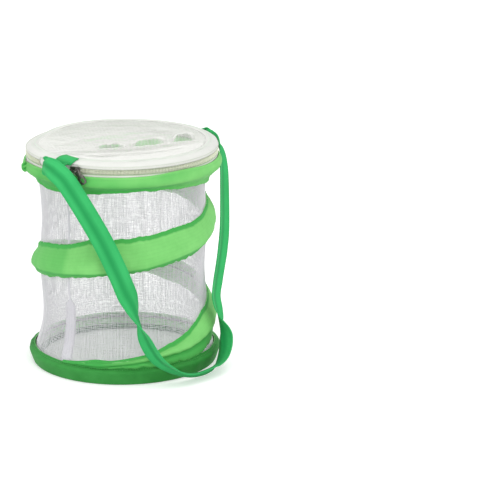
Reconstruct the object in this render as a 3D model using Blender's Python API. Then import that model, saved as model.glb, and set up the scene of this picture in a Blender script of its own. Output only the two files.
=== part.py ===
"""A pop-up insect cage: a net tube on sprung wire rings and a spiral, with a zipped net lid and a shoulder strap.

Metres, +Z up. The origin is the middle of the floor's underside. Azimuths are degrees from +X,
anticlockwise seen from above, and the front is at -90.
"""

import math

import bmesh
import bpy
from mathutils import Matrix, Vector

# Net tube
NET_RADIUS = 0.0850
NET_SKIN = 0.0007
NET_TUCK = 0.0054
NET_COLUMNS = 20
NET_GAP_ROWS = 7
NET_BAR = 0.0022
WAIST_SHARE = 0.045

# Sprung wires; an outset is how far a wire stands out from the net
WIRE_RADIUS = 0.0008
TOP_WIRE_OUTSET = 0.0126
TOP_WIRE_HEIGHT = 0.2044
TOP_JOIN_AZIMUTH = 150
BOTTOM_WIRE_OUTSET = 0.0093
BOTTOM_WIRE_HEIGHT = 0.0122
BOTTOM_JOIN_AZIMUTH = 60
SPIRAL_WIRE_OUTSET = 0.0073
FERRULE_CLEARANCE = 0.00025
FERRULE_WALL = 0.0003
FERRULE_LENGTH = 0.0140
FERRULE_MOUTH = 0.0010
CAP_LENGTH = 0.0080
CAP_CLEARANCE = 0.00035
CAP_WALL = 0.0005

# The spiral's height between the two rings, as (azimuth, share) pairs from its upper end down
SPIRAL_HEIGHT_SHARES = (
    (180, 1.0), (155, 0.963), (130, 0.912), (90, 0.849), (36, 0.771), (-20, 0.640), (-63, 0.578),
    (-118, 0.521), (-180, 0.464), (-240, 0.396), (-290, 0.328), (-330, 0.250), (-360, 0.170),
    (-393, 0.106), (-423, 0.075), (-450, 0.052), (-480, 0.030), (-510, 0.012), (-540, 0.0),
)
SPIRAL_START = 126
SPIRAL_END = -462

# Sleeves that hold the wires
CLOTH = 0.0007
HEM_THICKNESS = 0.0010
HEM_HEIGHT = 0.0035
SLEEVE_ROOM = 0.0020
POCKET_ROOM = 0.0004
BAND_ABOVE = 0.0200
BAND_BELOW = 0.0110
BAND_ABOVE_SAG = 0.0060
BAND_BELOW_SAG = 0.0025
# How much of the band is left as it runs out into the ring below, and into the one above
BAND_ABOVE_SHARES = ((-362, 1.0), (-384, 0.92), (-401, 0.56), (-426, 0.24), (-450, 0.13), (-470, 0.11))
BAND_BELOW_SHARES = ((150, 0.35), (110, 0.6), (70, 1.0))
TOP_SLEEVE_RISE = 0.0081
TOP_SLEEVE_DROP = 0.0139
BOTTOM_SLEEVE_RISE = 0.0048
BOTTOM_SLEEVE_FOOT_INSET = 0.0021

# Floor
FLOOR_THICKNESS = 0.0009
BINDING_TAPE = 0.0008
FLOOR_BINDING_WIDTH = 0.0050
FLOOR_BINDING_HEIGHT = 0.0040
SEAM_TAPE_WIDTH = 0.0140
SEAM_TAPE_NARROW = 0.0040
SEAM_TAPE_AZIMUTH = -131
SEAM_TAPE_SHORT = 0.0079
SEAM_TAPE_WIDE_SHARE = 0.5

# Zip: the tape stands inside the top wire, its foot in the sleeve's mouth
TAPE = 0.0008
ZIP_INSET = 0.0024
LINING_GAP = 0.0004
MOUTH_GAP = 0.0005
LOWER_TAPE_TUCK = 0.0045
LOWER_TAPE_SHOW = 0.0047
TOOTH_BAND = 0.0008
TOOTH_HEIGHT = 0.0013
TOOTH_CLEARANCE = 0.0005
TOOTH_BACK = 0.0002
TOOTH_PROUD = 0.0006
TOOTH_COUNT = 60

# Lid
HINGE_AZIMUTH = -129
HINGE_HALF_ANGLE = 15.5
HINGE_OUTSET = 0.0008
HINGE_RISE = 0.0025
GUSSET_RISE = 0.0020
SHOULDER_BULGE = 0.0002
SHOULDER_HEIGHT = 0.0066
SHOULDER_RUN = 0.0093
LID_BINDING_OVERLAP = 0.0016
LID_BINDING_INSET = 0.0023
LID_SAG = 0.0050
LID_FOLD = 0.0011
LID_FOLDS = 5
LID_NET_PITCH = 0.0150
LID_NET_THREAD = 0.0018
LID_NET_RIM = 0.0030
SMALLEST_GAP_SHARE = 0.2
# The shoulder's roll from its wall to the lid's seam, as (across, up) shares of its run and height
SHOULDER_SHARES = ((0.0, 0.16), (0.06, 0.42), (0.28, 0.75), (0.62, 0.93), (1.0, 1.0))

# Slider and pull
SLIDER_AZIMUTH = -115.2
SLIDER_LENGTH = 0.0110
SLIDER_TAPE_GAP = 0.0004
SLIDER_PLATE = 0.0012
SLIDER_FLANGE = 0.00075
SLIDER_TOOTH_GAP = 0.00035
SLIDER_TOOTH_FOOT_GAP = 0.0007
SLIDER_DOME = 0.0004
SLIDER_DOME_SHARES = ((-1.0, 1), (-0.6, 0), (0.6, 0), (1.0, 1))
BAIL_LENGTH = 0.0085
BAIL_HEIGHT = 0.0054
BAIL_BAR = 0.0013
BAIL_WIDTH = 0.0016
BAIL_SINK = 0.0004
PULL_LENGTH = 0.0150
PULL_THICKNESS = 0.0009
PULL_STANDOFF = 0.0027
PULL_NECK = 0.0060
PULL_WIDTH = 0.0076
PULL_EYE = 0.0038
PULL_SLOT = 0.0040
PULL_SLOT_LENGTH = 0.0055
PULL_SLOT_MARGIN = 0.0012
PULL_LEAN = 38
# One side of the pull from its eye down: (across, along) shares of the half neck, then of the plate
PULL_EYE_SHARES = ((0.55, 0.8), (1.0, 0.3))
PULL_PLATE_SHARES = ((0.72, -0.38), (1.0, -0.52), (1.0, -0.86), (0.6, -1.0))

# Strap
STRAP_WIDTH = 0.0200
STRAP_THICKNESS = 0.0012
STRAP_FRONT_AZIMUTH = -126
STRAP_REAR_AZIMUTH = 53
STRAP_SEAT = 0.00035
PATCH_SEAT = 0.0004
TAB_SEAT = 0.0005
TAB_END_SHARE = 0.4
PATCH_LOW_SHARE = 0.25
# Each row: azimuth, reach as a share of the top sleeve's reach, height as a share of the
# hinge's height, and the way the width points: turned outward from the tangent, then tilted up
STRAP_SHARES = (
    (-129.5, 1.006, 0.980, 180, 20),
    (-131.8, 1.044, 0.972, 150, 68),
    (-132.6, 1.074, 0.985, 2, 56),
    (-128.0, 1.103, 0.992, -6, 46),
    (-122.0, 1.113, 0.968, -48, 37),
    (-115.0, 1.103, 0.912, -44, 36),
    (-100.0, 1.068, 0.704, -28, 25),
    (-91.0, 1.054, 0.545, -14, 23),
    (-86.0, 1.054, 0.443, -19, 25),
    (-83.0, 1.054, 0.385, -50, 12),
    (-80.5, 1.064, 0.307, -76, -10),
    (-78.0, 1.074, 0.238, -104, -24),
    (-74.0, 1.074, 0.176, -112, -20),
    (-69.0, 1.083, 0.122, -105, -25),
    (-62.0, 1.093, 0.077, -91, -26),
    (-55.0, 1.108, 0.047, -66, -28),
    (-48.0, 1.103, 0.033, -62, -33),
    (-40.0, 1.093, 0.031, -55, -38),
    (-32.0, 1.083, 0.040, -35, -40),
    (-23.0, 1.074, 0.060, -2, -48),
    (-16.0, 1.065, 0.095, 18, -38),
    (-12.0, 1.035, 0.141, 19, -36),
    (-8.0, 0.995, 0.204, 14, -12),
    (-2.0, 0.965, 0.290, 28, -28),
    (6.0, 0.980, 0.428, 42, -10),
    (12.0, 1.025, 0.589, 42, -20),
    (15.0, 1.043, 0.783, 34, -20),
    (17.0, 1.053, 0.880, 8, -24),
    (18.5, 1.054, 0.925, 0, -36),
    (22.0, 1.054, 0.958, 0, -60),
    (29.0, 1.053, 0.964, 0, -82),
    (38.0, 1.053, 0.955, 180, -82),
    (47.0, 1.050, 0.938, 180, -58),
    (51.5, 1.044, 0.922, 180, -30),
    (53.0, 1.030, 0.909, 180, -8),
)

# Meshing
GAP = 0.0003
SEGMENTS = 48
WIRE_SIDES = 5
CUT_OVERRUN = 0.0005

# What the named sizes give: angles and the net
STEP = 360 / SEGMENTS
ZIP_START = HINGE_AZIMUTH + HINGE_HALF_ANGLE
ZIP_END = HINGE_AZIMUTH - HINGE_HALF_ANGLE + 360
NET_INNER = NET_RADIUS - NET_SKIN
NET_FOOT = FLOOR_THICKNESS + GAP
TOP_WIRE_RADIUS = NET_RADIUS + TOP_WIRE_OUTSET
BOTTOM_WIRE_RADIUS = NET_RADIUS + BOTTOM_WIRE_OUTSET
SPIRAL_WIRE_RADIUS = NET_RADIUS + SPIRAL_WIRE_OUTSET

# The sleeves' edges
TOP_SLEEVE_HEM = TOP_WIRE_HEIGHT - TOP_SLEEVE_DROP
TOP_SLEEVE_RIM = TOP_WIRE_HEIGHT + TOP_SLEEVE_RISE
TOP_SLEEVE_REACH = TOP_WIRE_RADIUS + SLEEVE_ROOM + 1.4 * CLOTH
BOTTOM_SLEEVE_HEM = BOTTOM_WIRE_HEIGHT + BOTTOM_SLEEVE_RISE
BOTTOM_SLEEVE_REACH = BOTTOM_WIRE_RADIUS + SLEEVE_ROOM + 1.4 * CLOTH
NET_TOP = TOP_SLEEVE_HEM + NET_TUCK

# The zip, from its lower tape up
TAPE_INNER_RADIUS = TOP_WIRE_RADIUS - ZIP_INSET
TAPE_OUTER_RADIUS = TAPE_INNER_RADIUS + TAPE
LOWER_TAPE_TOP = TOP_SLEEVE_RIM + LOWER_TAPE_SHOW
TEETH_FOOT = LOWER_TAPE_TOP + GAP
TEETH_TOP = TEETH_FOOT + 2 * TOOTH_BAND + TOOTH_HEIGHT + TOOTH_CLEARANCE
TOOTH_OUTER_RADIUS = TAPE_OUTER_RADIUS + TOOTH_PROUD
UPPER_TAPE_FOOT = TEETH_TOP + GAP
GUSSET_TOP = UPPER_TAPE_FOOT + GUSSET_RISE
SHOULDER_FOOT = GUSSET_TOP + GAP
SHOULDER_RADIUS = TAPE_OUTER_RADIUS + SHOULDER_BULGE
HINGE_RADIUS = TAPE_OUTER_RADIUS + HINGE_OUTSET
HINGE_HEIGHT = SHOULDER_FOOT + HINGE_RISE
LID_SEAM_TOP = UPPER_TAPE_FOOT + SHOULDER_HEIGHT
LID_SEAM_RADIUS = SHOULDER_RADIUS - SHOULDER_RUN
LID_BINDING_OUTER = LID_SEAM_RADIUS + LID_BINDING_OVERLAP
LID_BINDING_INNER = LID_SEAM_RADIUS - LID_BINDING_INSET


def material(name, colour, roughness, metallic=0.0):
    """A Principled material."""
    made = bpy.data.materials.new(name)
    made.use_nodes = True
    shader = made.node_tree.nodes["Principled BSDF"]
    shader.inputs["Base Color"].default_value = (*colour, 1.0)
    shader.inputs["Roughness"].default_value = roughness
    shader.inputs["Metallic"].default_value = metallic
    return made


def at(radius, azimuth, height):
    """The point at a radius, azimuth and height."""
    turn = math.radians(azimuth)
    return Vector((radius * math.cos(turn), radius * math.sin(turn), height))


def outward(azimuth):
    return at(1, azimuth, 0)


def sideways(azimuth):
    return at(1, azimuth + 90, 0)


def as_object(name, bm, finish, smooth=math.radians(40)):
    """An object from a bmesh, with its faces pointing out and its round parts smooth."""
    bmesh.ops.recalc_face_normals(bm, faces=bm.faces)
    mesh = bpy.data.meshes.new(name)
    bm.to_mesh(mesh)
    bm.free()
    mesh.shade_smooth()
    mesh.set_sharp_from_angle(angle=smooth)
    mesh.materials.append(finish)
    made = bpy.data.objects.new(name, mesh)
    bpy.context.collection.objects.link(made)
    return made


def loft(name, sections, closed, finish):
    """A skin through sections that are loops of points: a closed ring, or a run with two flat ends."""
    bm = bmesh.new()
    loops = [[bm.verts.new(point) for point in section] for section in sections]
    sides = len(loops[0])
    for i in range(len(loops) if closed else len(loops) - 1):
        here, there = loops[i], loops[(i + 1) % len(loops)]
        for j in range(sides):
            k = (j + 1) % sides
            bm.faces.new((here[j], here[k], there[k], there[j]))
    if not closed:
        bm.faces.new(loops[0])
        bm.faces.new(loops[-1])
    return as_object(name, bm, finish)


def azimuths(start, end, step=STEP):
    """Azimuths from start to end, at the shared stations between them."""
    first, last = math.floor(start / step) + 1, math.ceil(end / step)
    inner = [i * step for i in range(first, last) if start + step / 4 < i * step < end - step / 4]
    return [start, *inner, end]


def turned(name, profile, finish, span=None):
    """A profile of (radius, height) points turned about Z: all round, or between two azimuths."""
    turns = [i * STEP for i in range(SEGMENTS)] if span is None else azimuths(*span)
    sections = [[at(radius, turn, height) for radius, height in profile] for turn in turns]
    return loft(name, sections, span is None, finish)


def prisms(name, outlines, place, depth, finish):
    """Outlines of (x, y) points swept by depth; place turns (x, y, z) into a point."""
    bm = bmesh.new()
    for outline in outlines:
        low = [bm.verts.new(place(x, y, 0)) for x, y in outline]
        high = [bm.verts.new(place(x, y, depth)) for x, y in outline]
        bm.faces.new(low)
        bm.faces.new(high)
        for i in range(len(low)):
            j = (i + 1) % len(low)
            bm.faces.new((low[i], low[j], high[j], high[i]))
    return as_object(name, bm, finish)


def apply_boolean(target, tool, operation):
    """Join a tool to its target, or cut with it, and drop the tool."""
    modifier = target.modifiers.new(operation.lower(), "BOOLEAN")
    modifier.operation = operation
    modifier.solver = "EXACT"
    modifier.object = tool
    graph = bpy.context.evaluated_depsgraph_get()
    mesh = bpy.data.meshes.new_from_object(target.evaluated_get(graph))
    target.modifiers.clear()
    target.data = mesh
    bpy.data.objects.remove(tool)


def set_off(line, distance):
    """A line of (x, y) points moved to its left by a distance, with mitred corners."""
    moved = []
    for i, point in enumerate(line):
        ways = [
            (Vector(line[k + 1]) - Vector(line[k])).normalized()
            for k in (i - 1, i) if 0 <= k < len(line) - 1
        ]
        normals = [Vector((-way.y, way.x)) for way in ways]
        normal = (normals[0] + normals[-1]).normalized()
        moved.append(Vector(point) + normal * distance / normal.dot(normals[0]))
    return moved


def strip(line, distance, thickness):
    """The closed profile of a tape that follows a line at a distance on its left."""
    return [*set_off(line, distance), *reversed(set_off(line, distance + thickness))]


def eased(pairs, turn):
    """A smooth curve through (azimuth, value) pairs that fall in azimuth."""
    last = len(pairs) - 1
    if turn >= pairs[0][0]:
        return pairs[0][1]
    if turn <= pairs[last][0]:
        return pairs[last][1]
    i = next(i for i in range(last) if pairs[i + 1][0] <= turn)

    def slope(k):
        before, after = pairs[max(k - 1, 0)], pairs[min(k + 1, last)]
        return (after[1] - before[1]) / (after[0] - before[0]) if 0 < k < last else 0.0

    (x0, y0), (x1, y1) = pairs[i], pairs[i + 1]
    width, t = x1 - x0, (turn - x0) / (x1 - x0)
    start, end = y0 + t * width * slope(i) * (1 - t), y1 - (1 - t) * width * slope(i + 1) * t
    blend = t * t * (3 - 2 * t)
    return start * (1 - blend) + end * blend


def spiral_height(turn):
    """The spiral wire's height; past its ends it has run into the rings."""
    rise = TOP_WIRE_HEIGHT - BOTTOM_WIRE_HEIGHT
    return BOTTOM_WIRE_HEIGHT + rise * eased(SPIRAL_HEIGHT_SHARES, turn)


def wire_heights(azimuth):
    """The heights of all the wires that pass one azimuth, from the bottom ring to the top."""
    turn = (azimuth + 180) % 360 - 180
    crossings = [spiral_height(turn - 360 * lap) for lap in (1, 0)]
    return [BOTTOM_WIRE_HEIGHT, *crossings, TOP_WIRE_HEIGHT]


def slack(azimuth, height):
    """How far the net draws in between two wires."""
    heights = wire_heights(azimuth)
    for low, high in zip(heights, heights[1:]):
        if low < height < high:
            share = math.sin(math.pi * (height - low) / (high - low)) ** 2
            return WAIST_SHARE * (high - low) * share
    return 0.0


def bar_edges(start, end, count, bar):
    """The edges of count + 1 even bars with count gaps between them, from start to end."""
    pitch = (end - start - bar) / count
    return [start + i * pitch + side for i in range(count + 1) for side in (0, bar)]


def net_radius(azimuth, height):
    """The net's outer face, straight between its rows of points as the solid is."""
    heights = bar_edges(NET_FOOT, NET_TOP, NET_GAP_ROWS, NET_BAR)
    height = min(max(height, heights[0]), heights[-1])
    i = next(i for i in range(len(heights) - 1) if height <= heights[i + 1])
    lower, upper = slack(azimuth, heights[i]), slack(azimuth, heights[i + 1])
    share = (height - heights[i]) / (heights[i + 1] - heights[i])
    return NET_RADIUS - lower - (upper - lower) * share


def circle(radius, count=WIRE_SIDES):
    """Points round a wire's section, as (outward, up) offsets."""
    turns = [2 * math.pi * i / count for i in range(count)]
    return [(radius * math.cos(turn), radius * math.sin(turn)) for turn in turns]


def wire_sections(turns, ring_radius, height_at, radius):
    """Sections of a tube round a ring or a spiral."""
    return [
        [at(ring_radius + out, turn, height_at(turn) + up) for out, up in circle(radius)]
        for turn in turns
    ]


def ring_wire(name, ring_radius, height, azimuth, finish):
    """A hoop of wire whose ends nearly meet inside its ferrule."""
    half = math.degrees(FERRULE_MOUTH / 2 / ring_radius)
    turns = azimuths(azimuth + half, azimuth + 360 - half)
    sections = wire_sections(turns, ring_radius, lambda turn: height, WIRE_RADIUS)
    return loft(name, sections, False, finish)


def tube_round(name, turns, ring_radius, height_at, bore, wall, closed_end, finish):
    """A short crimped tube on a wire; closed_end adds the cap's end plate past the wire."""
    outer, inner = circle(bore + wall, 2 * WIRE_SIDES), circle(bore, 2 * WIRE_SIDES)
    bm = bmesh.new()

    def loop(turn, offsets):
        return [bm.verts.new(at(ring_radius + out, turn, height_at(turn) + up)) for out, up in offsets]

    plate = turns[-1] - (turns[-1] - turns[-2]) / 4 if closed_end else turns[-1]
    skins = [[loop(turn, outer) for turn in turns], [loop(turn, inner) for turn in [*turns[:-1], plate]]]

    def bridge(here, there):
        for j in range(len(here)):
            k = (j + 1) % len(here)
            bm.faces.new((here[j], here[k], there[k], there[j]))

    for skin in skins:
        for here, there in zip(skin, skin[1:]):
            bridge(here, there)
    bridge(skins[0][0], skins[1][0])
    if closed_end:
        bm.faces.new(skins[0][-1])
        bm.faces.new(skins[1][-1])
    else:
        bridge(skins[0][-1], skins[1][-1])
    return as_object(name, bm, finish)


def ferrule(name, ring_radius, height, azimuth, finish):
    half = math.degrees(FERRULE_LENGTH / 2 / ring_radius)
    turns = [azimuth - half, azimuth, azimuth + half]
    bore = WIRE_RADIUS + FERRULE_CLEARANCE
    return tube_round(name, turns, ring_radius, lambda turn: height, bore, FERRULE_WALL, False, finish)


def spiral_cap(name, end, direction, finish):
    """A cup over one end of the spiral wire; the wire's end sits just inside its plate."""
    length = math.degrees(CAP_LENGTH / SPIRAL_WIRE_RADIUS) * direction
    turns = [end + length * share for share in (-0.75, -0.25, 0.25)]
    bore = WIRE_RADIUS + CAP_CLEARANCE
    return tube_round(name, turns, SPIRAL_WIRE_RADIUS, spiral_height, bore, CAP_WALL, True, finish)


def top_sleeve_profile():
    """A cloth strip folded round the top wire: an outer layer, a hem on the net and a lining."""
    r, z = TOP_WIRE_RADIUS, TOP_WIRE_HEIGHT
    room, reach = SLEEVE_ROOM, TOP_SLEEVE_REACH
    hem, rim = TOP_SLEEVE_HEM, TOP_SLEEVE_RIM
    inner = NET_RADIUS + GAP
    mouth, lining = TAPE_OUTER_RADIUS + MOUTH_GAP, TAPE_INNER_RADIUS - LINING_GAP
    return [
        (mouth + CLOTH, rim),
        (reach - 0.3 * CLOTH, z + room),
        (reach, z),
        (reach - CLOTH, z - room),
        (inner + HEM_THICKNESS + 2 * CLOTH, hem + HEM_HEIGHT),
        (inner + HEM_THICKNESS + CLOTH, hem),
        (inner, hem),
        (inner, hem + HEM_HEIGHT + 2.4 * CLOTH),
        (lining - CLOTH, rim),
        (lining, rim),
        (inner + HEM_THICKNESS, hem + HEM_HEIGHT + 2 * CLOTH),
        (r + room - CLOTH, z - room + CLOTH),
        (r + room, z),
        (r + room - CLOTH / 4, z + room - CLOTH / 4),
        (mouth, rim),
    ]


def bottom_sleeve_profile():
    """The bottom strip: hem, outer layer, a flat foot on the table and a lining up the net."""
    r, z = BOTTOM_WIRE_RADIUS, BOTTOM_WIRE_HEIGHT
    room, reach = SLEEVE_ROOM, BOTTOM_SLEEVE_REACH
    hem, foot = BOTTOM_SLEEVE_HEM, r - BOTTOM_SLEEVE_FOOT_INSET
    inner = NET_RADIUS + GAP
    under = hem - HEM_HEIGHT
    return [
        (inner + HEM_THICKNESS + CLOTH / 2, hem),
        (inner + HEM_THICKNESS + CLOTH, under + CLOTH),
        (reach - CLOTH / 2, z + room + CLOTH / 2),
        (reach, z),
        (reach - CLOTH, z - room),
        (foot, 0),
        (inner, 0),
        (inner, under - GAP),
        (inner + CLOTH, under - GAP),
        (inner + CLOTH, CLOTH),
        (foot - CLOTH, CLOTH),
        (r + room - CLOTH, z - room + CLOTH / 2),
        (r + room, z),
        (r + room - CLOTH / 2, z + room - CLOTH / 2),
        (inner + HEM_THICKNESS, under),
        (inner, under),
        (inner, hem),
    ]


def spiral_band(turn):
    """The upper and lower hem heights of the spiral's sleeve, kept clear of the rings' sleeves."""
    wire, sag = spiral_height(turn), math.cos(math.radians(turn + 90))
    above = (BAND_ABOVE + BAND_ABOVE_SAG * sag) * eased(BAND_ABOVE_SHARES, turn)
    below = (BAND_BELOW - BAND_BELOW_SAG * sag) * eased(BAND_BELOW_SHARES, turn)
    high, low = TOP_SLEEVE_HEM - 2 * GAP, BOTTOM_SLEEVE_HEM + 2 * GAP
    return min(wire + above, high), max(wire - below, low)


def spiral_sleeve_section(turn):
    """A strip on the net, drawn out over the wire, with a hem along each edge."""
    wire = spiral_height(turn)
    high, low = spiral_band(turn)
    top_hem = min(HEM_HEIGHT, 0.4 * (high - wire))
    low_hem = min(HEM_HEIGHT, 0.4 * (wire - low))
    peak = SPIRAL_WIRE_RADIUS + WIRE_RADIUS + POCKET_ROOM
    bend = WIRE_RADIUS + POCKET_ROOM / 2

    def on_net(height, lift):
        return at(net_radius(turn, height) + POCKET_ROOM + lift, turn, height)

    return [
        on_net(high, HEM_THICKNESS),
        on_net(high - top_hem, HEM_THICKNESS + CLOTH / 2),
        at(peak + CLOTH, turn, wire + bend),
        at(peak + CLOTH, turn, wire - bend),
        on_net(low + low_hem, HEM_THICKNESS + CLOTH / 2),
        on_net(low, HEM_THICKNESS),
        on_net(low, 0),
        on_net(low + low_hem, 0),
        at(peak, turn, wire - bend - CLOTH / 4),
        at(peak, turn, wire + bend + CLOTH / 4),
        on_net(high - top_hem, 0),
        on_net(high, 0),
    ]


def make_base(finishes):
    """Floor, bottom ring and what stands on them."""
    bm = bmesh.new()
    bmesh.ops.create_cone(
        bm, cap_ends=True, segments=SEGMENTS, radius1=NET_RADIUS, radius2=NET_RADIUS,
        depth=FLOOR_THICKNESS, matrix=Matrix.Translation((0, 0, FLOOR_THICKNESS / 2)),
    )
    floor = as_object("floor_panel", bm, finishes["floor"])

    out = NET_INNER - GAP
    corner = [(out - FLOOR_BINDING_WIDTH, NET_FOOT), (out, NET_FOOT), (out, NET_FOOT + FLOOR_BINDING_HEIGHT)]
    join = BOTTOM_JOIN_AZIMUTH
    return [
        floor,
        turned("floor_binding", strip(corner, 0, BINDING_TAPE), finishes["binding"]),
        ring_wire("bottom_ring_wire", BOTTOM_WIRE_RADIUS, BOTTOM_WIRE_HEIGHT, join, finishes["wire"]),
        ferrule("bottom_ring_ferrule", BOTTOM_WIRE_RADIUS, BOTTOM_WIRE_HEIGHT, join, finishes["crimp"]),
        turned("bottom_ring_sleeve", bottom_sleeve_profile(), finishes["sleeve"]),
    ]


def make_net_wall(finish):
    """The wall as a coarse net: bars round and up it, with one square gap in each cell between them."""
    bar, column = math.degrees(NET_BAR / NET_RADIUS), 360 / NET_COLUMNS
    turns = [i * column + part for i in range(NET_COLUMNS) for part in (0, bar, (bar + column) / 2)]
    heights = bar_edges(NET_FOOT, NET_TOP, NET_GAP_ROWS, NET_BAR)
    parts = len(turns) // NET_COLUMNS
    bm = bmesh.new()
    outer, inner = (
        [[bm.verts.new(at(net_radius(turn, z) - skin, turn, z)) for z in heights] for turn in turns]
        for skin in (0, NET_SKIN)
    )

    def solid(i, j):
        """Whether the cell after upright i and above level j is part of a bar."""
        return 0 <= j < len(heights) - 1 and (i % parts == 0 or j % 2 == 0)

    for i in range(len(turns)):
        k = (i + 1) % len(turns)
        for j in range(len(heights)):
            if solid(i, j):
                for skin in (outer, inner):
                    bm.faces.new((skin[i][j], skin[k][j], skin[k][j + 1], skin[i][j + 1]))
            if solid(i, j) != solid(i, j - 1):
                bm.faces.new((outer[i][j], outer[k][j], inner[k][j], inner[i][j]))
            if j < len(heights) - 1 and solid(i, j) != solid(i - 1, j):
                bm.faces.new((outer[i][j], outer[i][j + 1], inner[i][j + 1], inner[i][j]))
    return as_object("side_net", bm, finish)


def make_net(finishes):
    """The net wall, its side seam, and the spiral that springs it open."""
    net = make_net_wall(finishes["net"])
    heights = bar_edges(NET_FOOT, NET_TOP, NET_GAP_ROWS, NET_BAR)
    rise = NET_TOP / NET_GAP_ROWS
    foot, head = NET_FOOT + FLOOR_BINDING_HEIGHT + GAP, NET_TOP - SEAM_TAPE_SHORT
    tape = []
    for z in [foot, *(z for z in heights if foot + rise / 4 < z < head - rise / 4), head]:
        width = SEAM_TAPE_WIDTH if z < SEAM_TAPE_WIDE_SHARE * TOP_WIRE_HEIGHT else SEAM_TAPE_NARROW
        half = math.degrees(width / 2 / NET_RADIUS)
        left, right = SEAM_TAPE_AZIMUTH - half, SEAM_TAPE_AZIMUTH + half
        back = net_radius(SEAM_TAPE_AZIMUTH, z) - NET_SKIN - 2 * GAP
        tape.append([
            at(back, left, z), at(back, right, z),
            at(back - CLOTH, right, z), at(back - CLOTH, left, z),
        ])
    seam = loft("side_seam_tape", tape, False, finishes["seam"])

    sleeve_turns = azimuths(SPIRAL_END, SPIRAL_START)
    tail = math.degrees(CAP_LENGTH / SPIRAL_WIRE_RADIUS)
    wire_turns = azimuths(SPIRAL_END - tail, SPIRAL_START + tail)
    wire = wire_sections(wire_turns, SPIRAL_WIRE_RADIUS, spiral_height, WIRE_RADIUS)
    return [
        net,
        seam,
        loft("spiral_wire", wire, False, finishes["wire"]),
        spiral_cap("spiral_wire_cap_upper", wire_turns[-1], 1, finishes["crimp"]),
        spiral_cap("spiral_wire_cap_lower", wire_turns[0], -1, finishes["crimp"]),
        loft("spiral_sleeve", [spiral_sleeve_section(t) for t in sleeve_turns], False, finishes["sleeve"]),
    ]


def tooth_band(name, foot_at, top_at, finish):
    """Half of the zip: a band with one zigzag edge that meshes with the other half's."""
    inner = TAPE_INNER_RADIUS - TOOTH_BACK
    sections = []
    for i in range(2 * TOOTH_COUNT + 1):
        turn = ZIP_START + (ZIP_END - ZIP_START) * i / (2 * TOOTH_COUNT)
        low, high = foot_at(i % 2), top_at(i % 2)
        sections.append([
            at(inner, turn, low), at(TOOTH_OUTER_RADIUS, turn, low),
            at(TOOTH_OUTER_RADIUS, turn, high), at(inner, turn, high),
        ])
    return loft(name, sections, False, finish)


def make_top(finishes):
    """Top ring, its sleeve, and the fixed half of the zip."""
    join = TOP_JOIN_AZIMUTH
    tape_foot = TOP_SLEEVE_RIM - LOWER_TAPE_TUCK
    tape = strip([(TAPE_OUTER_RADIUS, tape_foot), (TAPE_OUTER_RADIUS, LOWER_TAPE_TOP)], 0, TAPE)
    gusset = strip([(TAPE_OUTER_RADIUS, TEETH_FOOT), (TAPE_OUTER_RADIUS, GUSSET_TOP)], 0, TAPE)
    margin = math.degrees(2 * GAP / TAPE_OUTER_RADIUS)
    span = (ZIP_END - 360 + margin, ZIP_START - margin)
    ridge = TEETH_FOOT + TOOTH_BAND

    profile = top_sleeve_profile()
    high, low = Vector(profile[3]), Vector(profile[4])
    patch = strip([high, low.lerp(high, PATCH_LOW_SHARE)], PATCH_SEAT, STRAP_THICKNESS)
    patch_half = math.degrees(STRAP_WIDTH / 2 / TOP_SLEEVE_REACH)
    return [
        ring_wire("top_ring_wire", TOP_WIRE_RADIUS, TOP_WIRE_HEIGHT, join, finishes["wire"]),
        ferrule("top_ring_ferrule", TOP_WIRE_RADIUS, TOP_WIRE_HEIGHT, join, finishes["crimp"]),
        turned("top_ring_sleeve", profile, finishes["sleeve"]),
        turned("zip_tape_lower", tape, finishes["tape"]),
        turned("lid_hinge_gusset", gusset, finishes["tape"], span),
        tooth_band("zip_teeth_lower", lambda odd: TEETH_FOOT, lambda odd: ridge + odd * TOOTH_HEIGHT,
                   finishes["teeth"]),
        turned("strap_patch_rear", patch, finishes["strap"],
               (STRAP_REAR_AZIMUTH - patch_half, STRAP_REAR_AZIMUTH + patch_half)),
    ]


def shoulder_line():
    """The outer line of the zip's upper tape, which rolls inward to the lid's seam."""
    height = LID_SEAM_TOP - SHOULDER_FOOT
    return [(SHOULDER_RADIUS - across * SHOULDER_RUN, SHOULDER_FOOT + up * height)
            for across, up in SHOULDER_SHARES]


def cut_to_rim(outline, reach):
    """What a round rim leaves of a convex outline of (x, y) points."""
    limit = reach * math.cos(math.radians(STEP / 2))
    for i in range(SEGMENTS):
        side = outward(STEP * (i + 0.5))
        kept = []
        for start, end in zip(outline, outline[1:] + outline[:1]):
            before, after = (p[0] * side.x + p[1] * side.y - limit for p in (start, end))
            if before <= 0:
                kept.append(start)
            if before * after < 0:
                share = before / (before - after)
                kept.append(tuple(a + (b - a) * share for a, b in zip(start, end)))
        outline = kept
    return outline


def net_gaps(reach):
    """The square gaps of a flat net, the outer ones cut short by its rim."""
    half = (LID_NET_PITCH - LID_NET_THREAD) / 2
    count = math.ceil(reach / LID_NET_PITCH)
    gaps = []
    for i in range(-count, count + 1):
        for j in range(-count, count + 1):
            x, y = i * LID_NET_PITCH, j * LID_NET_PITCH
            square = [(x - half, y - half), (x + half, y - half), (x + half, y + half), (x - half, y + half)]
            gap = cut_to_rim(square, reach)
            area = sum(a[0] * b[1] - b[0] * a[1] for a, b in zip(gap, gap[1:] + gap[:1])) / 2
            if area > SMALLEST_GAP_SHARE * 4 * half * half:
                gaps.append(gap)
    return gaps


def lid_drop(radius, azimuth, reach):
    """How far the lid net sags, with a few soft folds that die out at the seam and the middle."""
    share = radius / reach
    folds = math.sin(math.radians(LID_FOLDS * azimuth)) * share * share * (1 - share) * 4
    return LID_SAG * (1 - share * share) - LID_FOLD * folds


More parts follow.
